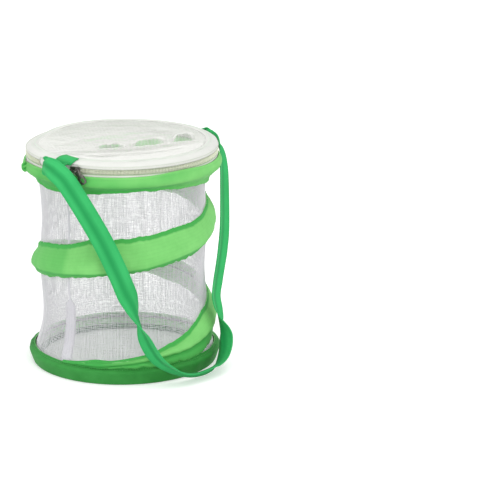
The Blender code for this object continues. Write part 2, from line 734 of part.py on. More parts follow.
def make_lid_net(reach, top, finish):
    """A flat net cut from a disc, then let sag."""
    rim = [(reach * outward(i * STEP).x, reach * outward(i * STEP).y) for i in range(SEGMENTS)]
    foot = top - NET_SKIN
    net = prisms("lid_net", [rim], lambda x, y, z: Vector((x, y, foot + z)), NET_SKIN, finish)

    def sunk(x, y, z):
        return Vector((x, y, foot - CUT_OVERRUN + z))

    cutter = prisms("cutter", net_gaps(reach - LID_NET_RIM), sunk, NET_SKIN + 2 * CUT_OVERRUN, finish)
    apply_boolean(net, cutter, "DIFFERENCE")
    bm = bmesh.new()
    bm.from_mesh(net.data)
    bmesh.ops.triangulate(bm, faces=bm.faces)
    for vert in bm.verts:
        radius, azimuth = vert.co.xy.length, math.degrees(math.atan2(vert.co.y, vert.co.x))
        vert.co.z -= lid_drop(radius, azimuth, reach)
    bm.to_mesh(net.data)
    bm.free()
    return net


def make_lid(finishes):
    """The lid: net, its binding, the shoulder of zip tape, the moving half of the zip and the strap's tab."""
    net = make_lid_net(LID_SEAM_RADIUS - GAP, LID_SEAM_TOP - GAP / 3, finishes["net"])
    over, half_tape = LID_SEAM_TOP + GAP, BINDING_TAPE / 2
    middle = (LID_BINDING_OUTER + LID_BINDING_INNER) / 2
    binding = turned("lid_binding", [
        (LID_BINDING_INNER, over),
        (LID_BINDING_OUTER, over),
        (LID_BINDING_OUTER, over + half_tape),
        (middle, over + BINDING_TAPE),
        (LID_BINDING_INNER, over + half_tape),
    ], finishes["tape"])

    margin = math.degrees(2 * GAP / TAPE_OUTER_RADIUS)
    hinge_low, hinge_high = ZIP_END - 360, ZIP_START
    feet = [(turn, SHOULDER_FOOT) for turn in azimuths(hinge_low, hinge_high)]
    feet += [(turn, UPPER_TAPE_FOOT) for turn in azimuths(hinge_high + margin, ZIP_END - margin)]
    tape = loft("zip_tape_upper", [
        [at(r, turn, z) for r, z in strip([(TAPE_OUTER_RADIUS, foot), *shoulder_line()], 0, TAPE)]
        for turn, foot in feet
    ], True, finishes["tape"])

    valley = TEETH_FOOT + TOOTH_BAND + TOOTH_CLEARANCE
    teeth = tooth_band("zip_teeth_upper", lambda odd: valley + odd * TOOTH_HEIGHT, lambda odd: TEETH_TOP,
                       finishes["teeth"])

    roll = shoulder_line()
    end = Vector(roll[1]).lerp(Vector(roll[2]), TAB_END_SHARE)
    run = [end, *roll[2:4], (LID_BINDING_OUTER + GAP, LID_SEAM_TOP)]
    half = math.degrees(STRAP_WIDTH / 2 / TAPE_OUTER_RADIUS)
    tab = turned("strap_tab_front", strip(run, -TAB_SEAT - STRAP_THICKNESS, STRAP_THICKNESS), finishes["strap"],
                 (STRAP_FRONT_AZIMUTH - half, STRAP_FRONT_AZIMUTH + half))
    return [net, binding, tape, teeth, tab]


def slider_frame(azimuth):
    """Turns (along the zip, out from the axis, up) into a point for the slider at an azimuth."""
    along, out = sideways(azimuth), outward(azimuth)
    return lambda x, y, z: along * x + out * y + Vector((0, 0, z))


def make_slider(finishes):
    """The slider rides over the teeth; its bail carries the pull."""
    place = slider_frame(SLIDER_AZIMUTH)
    inside = TOOTH_OUTER_RADIUS + SLIDER_TOOTH_GAP
    outside = inside + SLIDER_PLATE
    top_in, foot_in = TEETH_TOP + SLIDER_TOOTH_GAP, TEETH_FOOT - SLIDER_TOOTH_FOOT_GAP
    top, foot = top_in + SLIDER_FLANGE, foot_in - SLIDER_FLANGE
    tip = TAPE_OUTER_RADIUS + SLIDER_TAPE_GAP
    sections = []
    for share, drop in SLIDER_DOME_SHARES:
        x, face = share * SLIDER_LENGTH / 2, outside - drop * SLIDER_DOME
        sections.append([place(x, y, z) for y, z in (
            (tip, foot), (face, foot), (face, top), (tip, top),
            (tip, top_in), (inside, top_in), (inside, foot_in), (tip, foot_in),
        )])
    body = loft("slider_body", sections, False, finishes["metal"])

    half, inner = BAIL_LENGTH / 2, BAIL_LENGTH / 2 - BAIL_BAR
    low, high = outside - BAIL_SINK, outside + BAIL_HEIGHT
    round_off, under = BAIL_BAR, high - BAIL_BAR
    staple = [
        (-half, low), (-half, high - round_off), (-half + round_off, high),
        (half - round_off, high), (half, high - round_off), (half, low),
        (inner, low), (inner, under - BAIL_BAR / 3), (inner - BAIL_BAR / 3, under),
        (-inner + BAIL_BAR / 3, under), (-inner, under - BAIL_BAR / 3), (-inner, low),
    ]
    middle = (top + foot) / 2
    bail = prisms("bail", [staple], lambda x, y, z: place(x, y, middle - BAIL_WIDTH / 2 + z), BAIL_WIDTH,
                 finishes["metal"])
    apply_boolean(body, bail, "UNION")
    return body, place(half - BAIL_BAR / 2, outside + PULL_STANDOFF, middle)


def rounded(width, top, foot, corner_count=3):
    """An outline round one end of a plate: half circles of the width at top and foot."""
    radius, points = width / 2, []
    for centre, start in ((top - radius, 0), (foot + radius, 180)):
        for i in range(corner_count + 1):
            turn = math.radians(start + 180 * i / corner_count)
            points.append((radius * math.cos(turn), centre + radius * math.sin(turn)))
    return points


def make_pull(pivot, finishes):
    """The pull hangs by its eye from one leg of the bail, leaning as it was left."""
    lean = math.radians(PULL_LEAN)
    along, out, up = sideways(SLIDER_AZIMUTH), outward(SLIDER_AZIMUTH), Vector((0, 0, 1))
    down = along * math.sin(lean) - up * math.cos(lean)
    across = along * math.cos(lean) + up * math.sin(lean)

    def place(x, y, z):
        return pivot + across * x - down * y + out * z

    neck, wide = PULL_NECK / 2, PULL_WIDTH / 2
    side = [(across * neck, along * neck) for across, along in PULL_EYE_SHARES]
    side += [(across * wide, along * PULL_LENGTH) for across, along in PULL_PLATE_SHARES]
    outline = [*side, *((-x, y) for x, y in reversed(side))]
    pull = prisms("zip_pull", [outline], place, PULL_THICKNESS, finishes["metal"])

    def hole(width, top, foot):
        def sunk(x, y, z):
            return place(x, y, z - CUT_OVERRUN)

        depth = PULL_THICKNESS + 2 * CUT_OVERRUN
        cutter = prisms("cutter", [rounded(width, top, foot)], sunk, depth, finishes["metal"])
        apply_boolean(pull, cutter, "DIFFERENCE")

    hole(PULL_EYE, PULL_EYE / 2, -PULL_EYE / 2)
    slot_foot = PULL_SLOT_MARGIN - PULL_LENGTH
    hole(PULL_SLOT, slot_foot + PULL_SLOT_LENGTH, slot_foot)
    return pull


def strap_stations():
    """The strap's middle line and width direction, from its front seat to its rear patch."""
    def station(azimuth, radius, height, turn, tilt):
        turn, tilt = math.radians(turn), math.radians(tilt)
        level = sideways(azimuth) * math.cos(turn) + outward(azimuth) * math.sin(turn)
        return at(radius, azimuth, height), level * math.cos(tilt) + Vector((0, 0, math.sin(tilt)))

    half = STRAP_THICKNESS / 2
    front = station(STRAP_FRONT_AZIMUTH, SHOULDER_RADIUS + STRAP_SEAT + half, SHOULDER_FOOT, 180, 0)
    rows = [station(a, r * TOP_SLEEVE_REACH, h * HINGE_HEIGHT, t, u) for a, r, h, t, u in STRAP_SHARES]
    rear_height = top_sleeve_profile()[3][1]
    rear = station(STRAP_REAR_AZIMUTH, TOP_SLEEVE_REACH + GAP + half, rear_height + 2 * GAP, 180, 0)
    return [front, *rows, rear]


def smooth_line(values, steps):
    """A curve that passes through every value, with steps points from each to the next."""
    padded = [values[0] * 2 - values[1], *values, values[-1] * 2 - values[-2]]
    points = []
    for i in range(1, len(padded) - 2):
        a, b, c, d = padded[i - 1:i + 3]
        for step in range(steps):
            t = step / steps
            points.append((
                b * 2 + (c - a) * t + (a * 2 - b * 5 + c * 4 - d) * t ** 2
                + (b * 3 - a - c * 3 + d) * t ** 3
            ) / 2)
    return [*points, values[-1]]


def make_strap(finishes):
    """The webbing strap: a flat ribbon that curls out of its tab, crosses the front and twists at the foot."""
    stations = strap_stations()
    line = smooth_line([place for place, _ in stations], 2)
    widths = smooth_line([width for _, width in stations], 2)
    sections = []
    for i, (place, width) in enumerate(zip(line, widths)):
        ahead = line[min(i + 1, len(line) - 1)] - line[max(i - 1, 0)]
        across = width.normalized() * STRAP_WIDTH / 2
        face = ahead.cross(width).normalized() * STRAP_THICKNESS / 2
        sections.append([place + across + face, place - across + face,
                         place - across - face, place + across - face])
    length = sum((b - a).length for a, b in zip(line, line[1:]))
    print(f"strap: {length * 1000:.0f} mm from seat to patch")
    return loft("shoulder_strap", sections, False, finishes["strap"]), line[0]


def carry(name, place, pieces, parent=None):
    """An empty on a joint's axis that carries the pieces of one moving body."""
    empty = bpy.data.objects.new(name, None)
    bpy.context.collection.objects.link(empty)
    if parent is not None:
        empty.parent = parent
        empty.matrix_parent_inverse = Matrix.Translation(parent["place"]).inverted()
    empty.location = place
    empty["place"] = place
    for piece in pieces:
        piece.parent = empty
        piece.matrix_parent_inverse = Matrix.Translation(place).inverted()
    return empty


def build():
    for old in list(bpy.data.objects):
        bpy.data.objects.remove(old)
    finishes = {
        "net": material("white_net", (0.82, 0.83, 0.82), 0.85),
        "seam": material("white_seam_tape", (0.85, 0.85, 0.86), 0.8),
        "floor": material("pale_floor_cloth", (0.72, 0.74, 0.72), 0.8),
        "binding": material("green_grey_binding", (0.22, 0.36, 0.24), 0.8),
        "sleeve": material("leaf_green_cloth", (0.16, 0.55, 0.14), 0.6),
        "strap": material("green_webbing", (0.06, 0.50, 0.18), 0.7),
        "tape": material("white_zip_tape", (0.88, 0.88, 0.86), 0.75),
        "teeth": material("cream_zip_teeth", (0.70, 0.72, 0.60), 0.5),
        "metal": material("dark_nickel", (0.25, 0.26, 0.24), 0.3, 1.0),
        "wire": material("spring_steel", (0.45, 0.46, 0.47), 0.35, 1.0),
        "crimp": material("zinc_crimp", (0.60, 0.60, 0.60), 0.4, 1.0),
    }
    make_base(finishes)
    make_net(finishes)
    top = carry("top_carrier", Vector((0, 0, TOP_WIRE_HEIGHT)), make_top(finishes))
    hinge = at(HINGE_RADIUS, HINGE_AZIMUTH, HINGE_HEIGHT)
    carry("lid_hinge_carrier", hinge, make_lid(finishes), top)
    body, pivot = make_slider(finishes)
    slider = carry("slider_carrier", Vector((0, 0, TEETH_TOP)), [body], top)
    carry("pull_carrier", pivot, [make_pull(pivot, finishes)], slider)
    strap, seat = make_strap(finishes)
    carry("strap_carrier", seat, [strap], top)
    print("hinge", [round(v, 5) for v in hinge], "axis", [round(v, 5) for v in sideways(HINGE_AZIMUTH)])
    print("pull pivot", [round(v, 5) for v in pivot], "axis", [round(v, 5) for v in outward(SLIDER_AZIMUTH)])
    ends = [strap_stations()[0][0], strap_stations()[-1][0]]
    print("strap axis from", [round(v, 5) for v in ends[0]], "to", [round(v, 5) for v in ends[1]])


build()
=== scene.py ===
# %% [markdown]
# # A pop-up insect cage
# A tube of white net is sprung open by three wires: a ring at the bottom, a ring at the top
# and a spiral between them. Each wire hides in a green cloth sleeve. A net lid closes the top
# with a zip, and a green webbing strap carries the cage. This lesson dresses a plain model of
# it: the hard pieces stay, and cloth, net, zip and webbing are made again as they really are.
# It starts by loading that model and keeping its box, so that nothing grows out of it.

# %% Load the plain model
import math

import bmesh
import bpy
import numpy as np
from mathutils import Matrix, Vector, noise


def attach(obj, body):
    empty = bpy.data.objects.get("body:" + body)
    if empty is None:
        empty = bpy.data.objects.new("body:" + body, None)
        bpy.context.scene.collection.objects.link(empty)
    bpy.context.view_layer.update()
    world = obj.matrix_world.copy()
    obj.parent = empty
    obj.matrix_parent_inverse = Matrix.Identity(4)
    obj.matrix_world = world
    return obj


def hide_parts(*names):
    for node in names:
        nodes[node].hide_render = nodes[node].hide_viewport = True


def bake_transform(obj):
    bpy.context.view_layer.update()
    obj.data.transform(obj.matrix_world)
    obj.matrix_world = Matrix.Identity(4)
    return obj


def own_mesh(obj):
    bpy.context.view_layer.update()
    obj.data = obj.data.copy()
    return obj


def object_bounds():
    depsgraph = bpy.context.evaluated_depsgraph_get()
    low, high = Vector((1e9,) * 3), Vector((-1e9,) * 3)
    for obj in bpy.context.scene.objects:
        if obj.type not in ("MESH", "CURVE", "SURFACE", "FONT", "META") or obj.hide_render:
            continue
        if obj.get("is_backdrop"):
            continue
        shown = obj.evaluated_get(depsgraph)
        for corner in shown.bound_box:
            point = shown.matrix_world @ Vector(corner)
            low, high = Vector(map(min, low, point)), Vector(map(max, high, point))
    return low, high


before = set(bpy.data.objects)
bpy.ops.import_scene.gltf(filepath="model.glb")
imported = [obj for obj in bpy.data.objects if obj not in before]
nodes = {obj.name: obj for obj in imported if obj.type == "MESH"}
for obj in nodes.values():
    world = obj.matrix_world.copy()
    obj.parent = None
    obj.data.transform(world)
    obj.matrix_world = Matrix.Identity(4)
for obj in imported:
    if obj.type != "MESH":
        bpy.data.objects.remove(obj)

MM = 0.001
plain_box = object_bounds()

# %% [markdown]
# The camera comes first, because every choice of detail depends on how near it stands. It looks
# along +Y from 2.6 m, about 16 degrees above the table, through a long lens, so that the rings
# are gentle ellipses. The cage stands left of the middle of the picture.

# %% Camera
def add_object(name, data):
    """A new object in the scene for a mesh, a lamp or a camera."""
    made = bpy.data.objects.new(name, data)
    bpy.context.collection.objects.link(made)
    return made


AIM = Vector((0.12828, 0, 0.11233))
ELEVATION = math.radians(16.27)
DISTANCE = 2.6
lens = bpy.data.cameras.new("camera")
lens.sensor_width, lens.lens = 36, 184.5
camera = add_object("camera", lens)
camera.location = AIM + Vector((0, -math.cos(ELEVATION), math.sin(ELEVATION))) * DISTANCE
camera.rotation_euler = (math.pi / 2 - ELEVATION, 0, 0)
bpy.context.scene.camera = camera
bpy.context.scene.view_settings.view_transform = "Standard"
print("camera at", tuple(round(v, 3) for v in camera.location))

# %% [markdown]
# Nodes are wired by a helper that takes the inputs as a dictionary: a plain value is set on the
# socket, and another node's output is linked to it. It serves shader nodes and geometry nodes.

# %% A helper for nodes
def put(tree, kind, inputs=None, **settings):
    """Add a node, set its properties, and set or link its inputs; an input is a name or a number."""
    made = tree.nodes.new(kind)
    for key, value in settings.items():
        setattr(made, key, value)
    for key, value in (inputs or {}).items():
        socket = made.inputs[key]
        if isinstance(value, bpy.types.NodeSocket):
            tree.links.new(value, socket)
        else:
            socket.default_value = value
    return made


def sums(tree, operation, *values):
    """A math node's result."""
    return put(tree, "ShaderNodeMath", dict(enumerate(values)), operation=operation).outputs[0]


def srgb(*values):
    """A colour as the eye reads it, 0 to 255, turned into the linear one that Blender mixes."""
    shares = [value / 255 for value in values]
    return (*(v / 12.92 if v <= 0.04045 else ((v + 0.055) / 1.055) ** 2.4 for v in shares), 1.0)


# %% [markdown]
# The cage stands on a plain white ground that fades into a white backdrop. The world is white
# only for what the camera, a gloss or a clear surface sees; as a lamp it stays at a plain level,
# so that a colour comes out about as it is written. Three wide lamps, above, in front and at the
# left, give the soft shading of a photographer's tent.

# %% Ground, world and lamps
def white_for_the_eye(tree):
    """1 for a ray from the camera or from a mirror or glass, 0 for one that gathers light."""
    path = put(tree, "ShaderNodeLightPath")
    seen = sums(tree, "MAXIMUM", path.outputs["Is Camera Ray"], path.outputs["Is Glossy Ray"])
    return sums(tree, "MAXIMUM", seen, path.outputs["Is Transmission Ray"])


world = bpy.data.worlds.new("studio")
world.use_nodes = True
bpy.context.scene.world = world
tree = world.node_tree
tree.nodes.clear()
eye = white_for_the_eye(tree)
plain = put(tree, "ShaderNodeBackground", {"Color": (1, 1, 1, 1), "Strength": 0.92})
white = put(tree, "ShaderNodeBackground", {"Color": (1, 1, 1, 1), "Strength": 1.0})
mix = put(tree, "ShaderNodeMixShader", {0: eye, 1: plain.outputs[0], 2: white.outputs[0]})
put(tree, "ShaderNodeOutputWorld", {"Surface": mix.outputs[0]})


def new_finish(name, roughness=0.5, gloss=0.5):
    """A material with its tree and its shader; roughness and gloss are the same all over."""
    made = bpy.data.materials.new(name)
    made.use_nodes = True
    shader = made.node_tree.nodes["Principled BSDF"]
    shader.inputs["Roughness"].default_value = roughness
    shader.inputs["Specular IOR Level"].default_value = gloss
    return made, made.node_tree, shader


ground_finish, tree, ground_shader = new_finish("white_ground", 0.9, 0.1)
ground_shader.inputs["Base Color"].default_value = (0.8, 0.8, 0.8, 1)
glow = put(tree, "ShaderNodeEmission", {"Color": (1, 1, 1, 1), "Strength": 0.36})
dark = put(tree, "ShaderNodeEmission", {"Strength": 0.0})
glow_mix = put(tree, "ShaderNodeMixShader", {0: white_for_the_eye(tree), 1: dark.outputs[0], 2: glow.outputs[0]})
both = put(tree, "ShaderNodeAddShader", {0: ground_shader.outputs[0], 1: glow_mix.outputs[0]})
tree.links.new(both.outputs[0], tree.nodes["Material Output"].inputs["Surface"])

bpy.ops.mesh.primitive_circle_add(vertices=96, radius=30, fill_type="NGON", location=(0, 0, -0.0002))
ground = bpy.context.object
ground.name = "ground"
ground.data.materials.append(ground_finish)
ground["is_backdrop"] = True


def lamp(name, place, aim, size, power):
    """A square soft lamp that looks at a point."""
    light = bpy.data.lights.new(name, "AREA")
    light.size, light.energy = size, power
    made = add_object(name, light)
    made.location = place
    made.rotation_euler = (Vector(aim) - Vector(place)).to_track_quat("-Z", "Y").to_euler()


lamp("tent_top", (0.3, -0.5, 2.2), (0, 0, 0.1), 1.6, 12)
lamp("tent_front", (1.0, -2.2, 1.0), (0, 0, 0.12), 1.4, 16)
lamp("tent_left", (-2.0, -1.2, 0.9), (0, 0, 0.12), 1.2, 12.5)

# %% [markdown]
# ## Cloth colours and weaves
# Cheap polyester shows four things from near: the crossing threads, a cloudy tone from its dye,
# a deeper colour where a hem doubles it, and a soft sheen. The weave and the clouds are node
# groups, so that every cloth, tape and strap can use them with its own numbers. The weave reads
# the piece's own map, laid out in metres along and across the cloth, so its threads follow every
# bend, and the clouds read the object's place, so they don't repeat.

# %% The weave, clouds and rub groups
def group(name, inputs, outputs):
    """A shader group with named sockets, and its input and output nodes."""
    made = bpy.data.node_groups.new(name, "ShaderNodeTree")
    for label, kind, value in inputs:
        socket = made.interface.new_socket(label, in_out="INPUT", socket_type=kind)
        if value is not None:
            socket.default_value = value
    for label, kind in outputs:
        made.interface.new_socket(label, in_out="OUTPUT", socket_type=kind)
    return made, made.nodes.new("NodeGroupInput"), made.nodes.new("NodeGroupOutput")


FLOAT, COLOUR, VECTOR = "NodeSocketFloat", "NodeSocketColor", "NodeSocketVector"

weave, source, result = group(
    "woven_threads",
    [("Map", VECTOR, None), ("Threads along", FLOAT, 1600), ("Threads across", FLOAT, 1600)],
    [("Height", FLOAT), ("Gap", FLOAT)],
)
split = put(weave, "ShaderNodeSeparateXYZ", {0: source.outputs["Map"]})
waves = []
for i, label in enumerate(("Threads along", "Threads across")):
    count = sums(weave, "MULTIPLY", split.outputs[i], source.outputs[label])
    waves.append(sums(weave, "SINE", sums(weave, "MULTIPLY", count, math.pi)))
over = sums(weave, "MULTIPLY", *waves)
weave.links.new(sums(weave, "MULTIPLY_ADD", over, 0.5, 0.5), result.inputs["Height"])
# The weave's gaps give a factor that darkens the colour a little, as painted shade between the threads.
thin = sums(weave, "SUBTRACT", 1.0, sums(weave, "ABSOLUTE", over))
weave.links.new(sums(weave, "POWER", thin, 3.0), result.inputs["Gap"])


def mixed(tree, share, first, second):
    """Two colours mixed by a share from 0 to 1."""
    return put(tree, "ShaderNodeMix", {0: share, "A": first, "B": second}, data_type="RGBA").outputs["Result"]


clouds, source, result = group(
    "dye_clouds",
    [("Light", COLOUR, (1, 1, 1, 1)), ("Deep", COLOUR, (0, 0, 0, 1)), ("Size", FLOAT, 30.0)],
    [("Color", COLOUR), ("Cloud", FLOAT)],
)
place = put(clouds, "ShaderNodeTexCoord")
blotch = put(clouds, "ShaderNodeTexNoise", {
    "Vector": place.outputs["Object"], "Scale": source.outputs["Size"], "Detail": 4.0, "Roughness": 0.6})
spread = put(clouds, "ShaderNodeMapRange", {0: blotch.outputs[0], 1: 0.35, 2: 0.65})
tint = mixed(clouds, spread.outputs[0], source.outputs["Light"], source.outputs["Deep"])
clouds.links.new(tint, result.inputs["Color"])
clouds.links.new(spread.outputs[0], result.inputs["Cloud"])

rub, source, result = group(
    "handled_metal", [("Size", FLOAT, 900.0)], [("Rub", FLOAT), ("Height", FLOAT)])
place = put(rub, "ShaderNodeTexCoord")
fine = put(rub, "ShaderNodeTexNoise", {
    "Vector": place.outputs["Object"], "Scale": source.outputs["Size"], "Detail": 5.0, "Roughness": 0.7})
spots = put(rub, "ShaderNodeMapRange", {0: fine.outputs[0], 1: 0.4, 2: 0.62})
rub.links.new(spots.outputs[0], result.inputs["Rub"])
rub.links.new(fine.outputs[0], result.inputs["Height"])
print("groups:", len(bpy.data.node_groups))


# %% [markdown]
# Each cloth finish is the same recipe. The clouds give the face colour. A number on each point, from 0 for one layer to
# 1 for a hem, pulls it to a deeper colour; on some pieces it also carries painted shade, on the faces of the sleeves
# that look down, along the strap's fold and beside the zip's coils. The gaps of the weave are painted a little darker,
# as painted shade between the threads. The green cloth's reverse, which is seen through the net from inside, is painted
# much paler, as painted light for the light that comes through the thin cloth. The weave also drives the bump.

# %% Cloth finishes
def relief(tree, shader, strength, distance, height):
    """A bump on a finish: its strength, its depth in metres and the height that drives it."""
    bump = put(tree, "ShaderNodeBump", {"Strength": strength, "Distance": distance, "Height": height})
    tree.links.new(bump.outputs[0], shader.inputs["Normal"])


def cloth_finish(name, *colours, threads=(1600, 1600), bump=0.12, gap=0.05):
    """A woven finish: its face, cloudy face and hem colours, where the hem colour also serves as painted shade, and a
    fourth, paler one painted on the reverse as painted light.
    """
    light, deep, hem, *reverse_painted_light = (srgb(*colour) for colour in colours)
    made, tree, shader = new_finish(name, 0.7, 0.18)
    shader.inputs["Sheen Weight"].default_value = 0.03
    dye = put(tree, "ShaderNodeGroup", {"Light": light, "Deep": deep}, node_tree=clouds)
    layers = put(tree, "ShaderNodeAttribute", attribute_name="layers")
    face = mixed(tree, layers.outputs["Fac"], dye.outputs["Color"], hem)
    if reverse_painted_light:
        behind = put(tree, "ShaderNodeAttribute", attribute_name="reverse_painted_light")
        face = mixed(tree, behind.outputs["Fac"], face, reverse_painted_light[0])
    lay = put(tree, "ShaderNodeUVMap", uv_map="cloth")
    woven = put(tree, "ShaderNodeGroup", {
        "Map": lay.outputs[0], "Threads along": threads[0], "Threads across": threads[1]}, node_tree=weave)
    # Painted shade: the weave's gaps darken the colour a little.
    painted_shade = sums(tree, "MULTIPLY", woven.outputs["Gap"], gap)
    tree.links.new(mixed(tree, painted_shade, face, (0.0, 0.0, 0.0, 1.0)), shader.inputs["Base Color"])
    relief(tree, shader, bump, 0.00012, woven.outputs["Height"])
    return made


# Painted light: the green cloth's reverse is painted much paler than its face, for the light that comes through the
# thin cloth into the shaded inside.
GREEN_REVERSE_PAINTED_LIGHT = (180, 252, 172)
green_cloth = cloth_finish("green_cloth", (128, 204, 116), (114, 192, 104), (64, 164, 74), GREEN_REVERSE_PAINTED_LIGHT)
# Painted shade: the bottom sleeve's green is painted darker than the other sleeves', because its face looks down and
# away from the light.
green_cloth_painted_shade = cloth_finish("green_cloth_painted_shade", (58, 145, 66), (43, 127, 52), (50, 140, 60), GREEN_REVERSE_PAINTED_LIGHT)
webbing = cloth_finish(
    "green_webbing", (57, 180, 102), (49, 170, 94), (28, 144, 76), threads=(1100, 2600), bump=0.35, gap=0.1)
white_cloth = cloth_finish("white_tape", (216, 217, 212), (209, 210, 205), (204, 205, 200), threads=(1400, 1400))
# The zip tape's third colour is a grey green, painted as shadow beside the coils.
zip_cloth = cloth_finish(
    "zip_tape", (216, 217, 212), (209, 210, 205), (158, 180, 146), threads=(700, 1500), bump=0.4)
seam_cloth = cloth_finish("seam_tape", (231, 230, 235), (223, 222, 228), (214, 213, 219), threads=(1400, 1400))
floor_cloth = cloth_finish("floor_cloth", (240, 242, 239), (231, 234, 231), (200, 204, 200), threads=(900, 900))
dark_binding = cloth_finish("dark_binding", (112, 146, 120), (92, 124, 102), (78, 106, 88), threads=(1200, 1200))
print("finishes so far:", len(bpy.data.materials))

# %% [markdown]
# Thread is too thin for a map, so the net and the sewing threads take a plainer finish with the
# clouds alone. The zip's coils are cream nylon, a little glossy. The slider is nickel-plated and
# handled, so its rub group breaks up the shine, and the hidden wires are bare spring steel.

# %% Thread, nylon and metal finishes
def thread_finish(name, light, deep, roughness=0.6, size=400.0):
    """A finish for threads and coils: two tones and a fine grain."""
    made, tree, shader = new_finish(name, roughness, 0.35)
    dye = put(tree, "ShaderNodeGroup", {"Light": srgb(*light), "Deep": srgb(*deep), "Size": size}, node_tree=clouds)
    tree.links.new(dye.outputs["Color"], shader.inputs["Base Color"])
    relief(tree, shader, 0.2, 0.0001, dye.outputs["Cloud"])
    return made


def metal_finish(name, colour, worn, roughness, rough_worn):
    """A plated or bare metal with rubbed spots."""
    made, tree, shader = new_finish(name)
    shader.inputs["Metallic"].default_value = 1.0
    rubbed = put(tree, "ShaderNodeGroup", node_tree=rub)
    tone = mixed(tree, rubbed.outputs["Rub"], srgb(*colour), srgb(*worn))
    tree.links.new(tone, shader.inputs["Base Color"])
    rough = put(tree, "ShaderNodeMapRange", {0: rubbed.outputs["Rub"], 3: roughness, 4: rough_worn})
    tree.links.new(rough.outputs[0], shader.inputs["Roughness"])
    relief(tree, shader, 0.15, 0.0001, rubbed.outputs["Height"])
    return made


net_thread = thread_finish("net_thread", (232, 231, 234), (227, 226, 230))
# The lid's net is the same cloth as the wall's, but its threads are painted a little lighter, as painted light from
# above.
lid_thread = thread_finish("lid_thread", (240, 240, 236), (232, 233, 228))
green_thread = thread_finish("green_thread", (104, 190, 104), (84, 172, 90))
pale_thread = thread_finish("pale_thread", (226, 226, 220), (214, 214, 206))
mint_thread = thread_finish("mint_thread", (214, 238, 214), (198, 230, 200))
coil_nylon = thread_finish("coil_nylon", (234, 238, 216), (224, 230, 204), roughness=0.42, size=900.0)
dark_metal = metal_finish("dark_metal", (118, 116, 110), (66, 66, 62), 0.24, 0.46)
spring_steel = metal_finish("spring_steel", (176, 178, 180), (140, 142, 146), 0.3, 0.5)
crimp_metal = metal_finish("crimp_metal", (196, 198, 198), (170, 172, 172), 0.35, 0.55)
for name, finish in (("bottom_ring_wire", spring_steel), ("top_ring_wire", spring_steel),
                     ("bottom_ring_ferrule", crimp_metal), ("top_ring_ferrule", crimp_metal)):
    for slot in nodes[name].material_slots:
        slot.material = finish
print("finishes in all:", len(bpy.data.materials))

# %% [markdown]
# ## Where the wires run
# The cage's whole form follows its wires. The spiral rises from the bottom ring to the top one
# in a turn and three quarters, fast in the middle and slowly at both ends, where it lies along
# the rings. The net hangs on the wires and draws in between them. The plain model's rule for the
# wires is written here again in millimetres and degrees, so that each cloth lands on its wire.
# How far the net draws in and how wide the spiral's sleeve is are set here, closer to the real
# cage than in the plain model.

# %% The spiral's rule
NET_RADIUS, TOP_WIRE, BOTTOM_WIRE = 85.0, 204.4, 12.2
SPIRAL = ((180, 1.0), (155, 0.963), (130, 0.912), (90, 0.849), (36, 0.771), (-20, 0.640), (-63, 0.578),
          (-118, 0.521), (-180, 0.464), (-240, 0.396), (-290, 0.328), (-330, 0.250), (-360, 0.170),
          (-393, 0.106), (-423, 0.075), (-450, 0.052), (-480, 0.030), (-510, 0.012), (-540, 0.0))
BAND_ABOVE = ((-362, 1.04), (-384, 0.86), (-401, 0.50), (-426, 0.18), (-450, 0.08), (-470, 0.07))
BAND_BELOW = ((150, 0.35), (110, 0.6), (70, 1.0), (-300, 1.0), (-345, 1.1), (-381, 1.9), (-440, 1.9))
SPIRAL_START, SPIRAL_END = 140, -490


def clamped(value):
    """The value, held between 0 and 1."""
    return min(max(value, 0.0), 1.0)


def eased(pairs, turn):
    """A smooth curve through (azimuth, value) pairs that fall in azimuth."""
    last = len(pairs) - 1
    if turn >= pairs[0][0]:
        return pairs[0][1]
    if turn <= pairs[last][0]:
        return pairs[last][1]
    i = next(i for i in range(last) if pairs[i + 1][0] <= turn)

    def slope(k):
        """The curve's slope at a pair: level at both ends, and from neighbour to neighbour between."""
        before, after = pairs[max(k - 1, 0)], pairs[min(k + 1, last)]
        return (after[1] - before[1]) / (after[0] - before[0]) if 0 < k < last else 0.0

    (x0, y0), (x1, y1) = pairs[i], pairs[i + 1]
    width, t = x1 - x0, (turn - x0) / (x1 - x0)
    start, end = y0 + t * width * slope(i) * (1 - t), y1 - (1 - t) * width * slope(i + 1) * t
    blend = t * t * (3 - 2 * t)
    return start * (1 - blend) + end * blend


def spiral_height(turn):
    """The height of the spiral's wire; the turn falls below -180 on its second time round."""
    return BOTTOM_WIRE + (TOP_WIRE - BOTTOM_WIRE) * eased(SPIRAL, turn)


def foot_flare(height):
    """How far the net spreads outward over its last 30 mm, where the bottom sleeve takes it."""
    return 5.8 * clamped((46 - height) / 30) ** 1.8


def net_radius(azimuth, height):
    """The net's radius: it rests on the wires, draws in between them and spreads at its foot."""
    turn = (azimuth + 180) % 360 - 180
    heights = [BOTTOM_WIRE, spiral_height(turn - 360), spiral_height(turn), TOP_WIRE]
    for low, high in zip(heights, heights[1:]):
        if low < height < high:
            drawn = 0.026 * (high - low) * math.sin(math.pi * (height - low) / (high - low)) ** 2
            return NET_RADIUS - drawn + foot_flare(height)
    return NET_RADIUS + foot_flare(height)


def band_edges(turn):
    """The upper and lower edge of the spiral's sleeve."""
    wire, sag = spiral_height(turn), math.cos(math.radians(turn + 90))
    above = (19.5 + 9.0 * sag) * eased(BAND_ABOVE, turn)
    below = (9.7 - 4.3 * sag) * eased(BAND_BELOW, turn)
    return min(wire + above, 189.9), max(wire - below, 15.6)


def at(radius, azimuth, height):
    """A point from a radius and height in millimetres and an azimuth in degrees, in metres."""
    turn = math.radians(azimuth)
    return Vector((radius * math.cos(turn), radius * math.sin(turn), height)) * MM


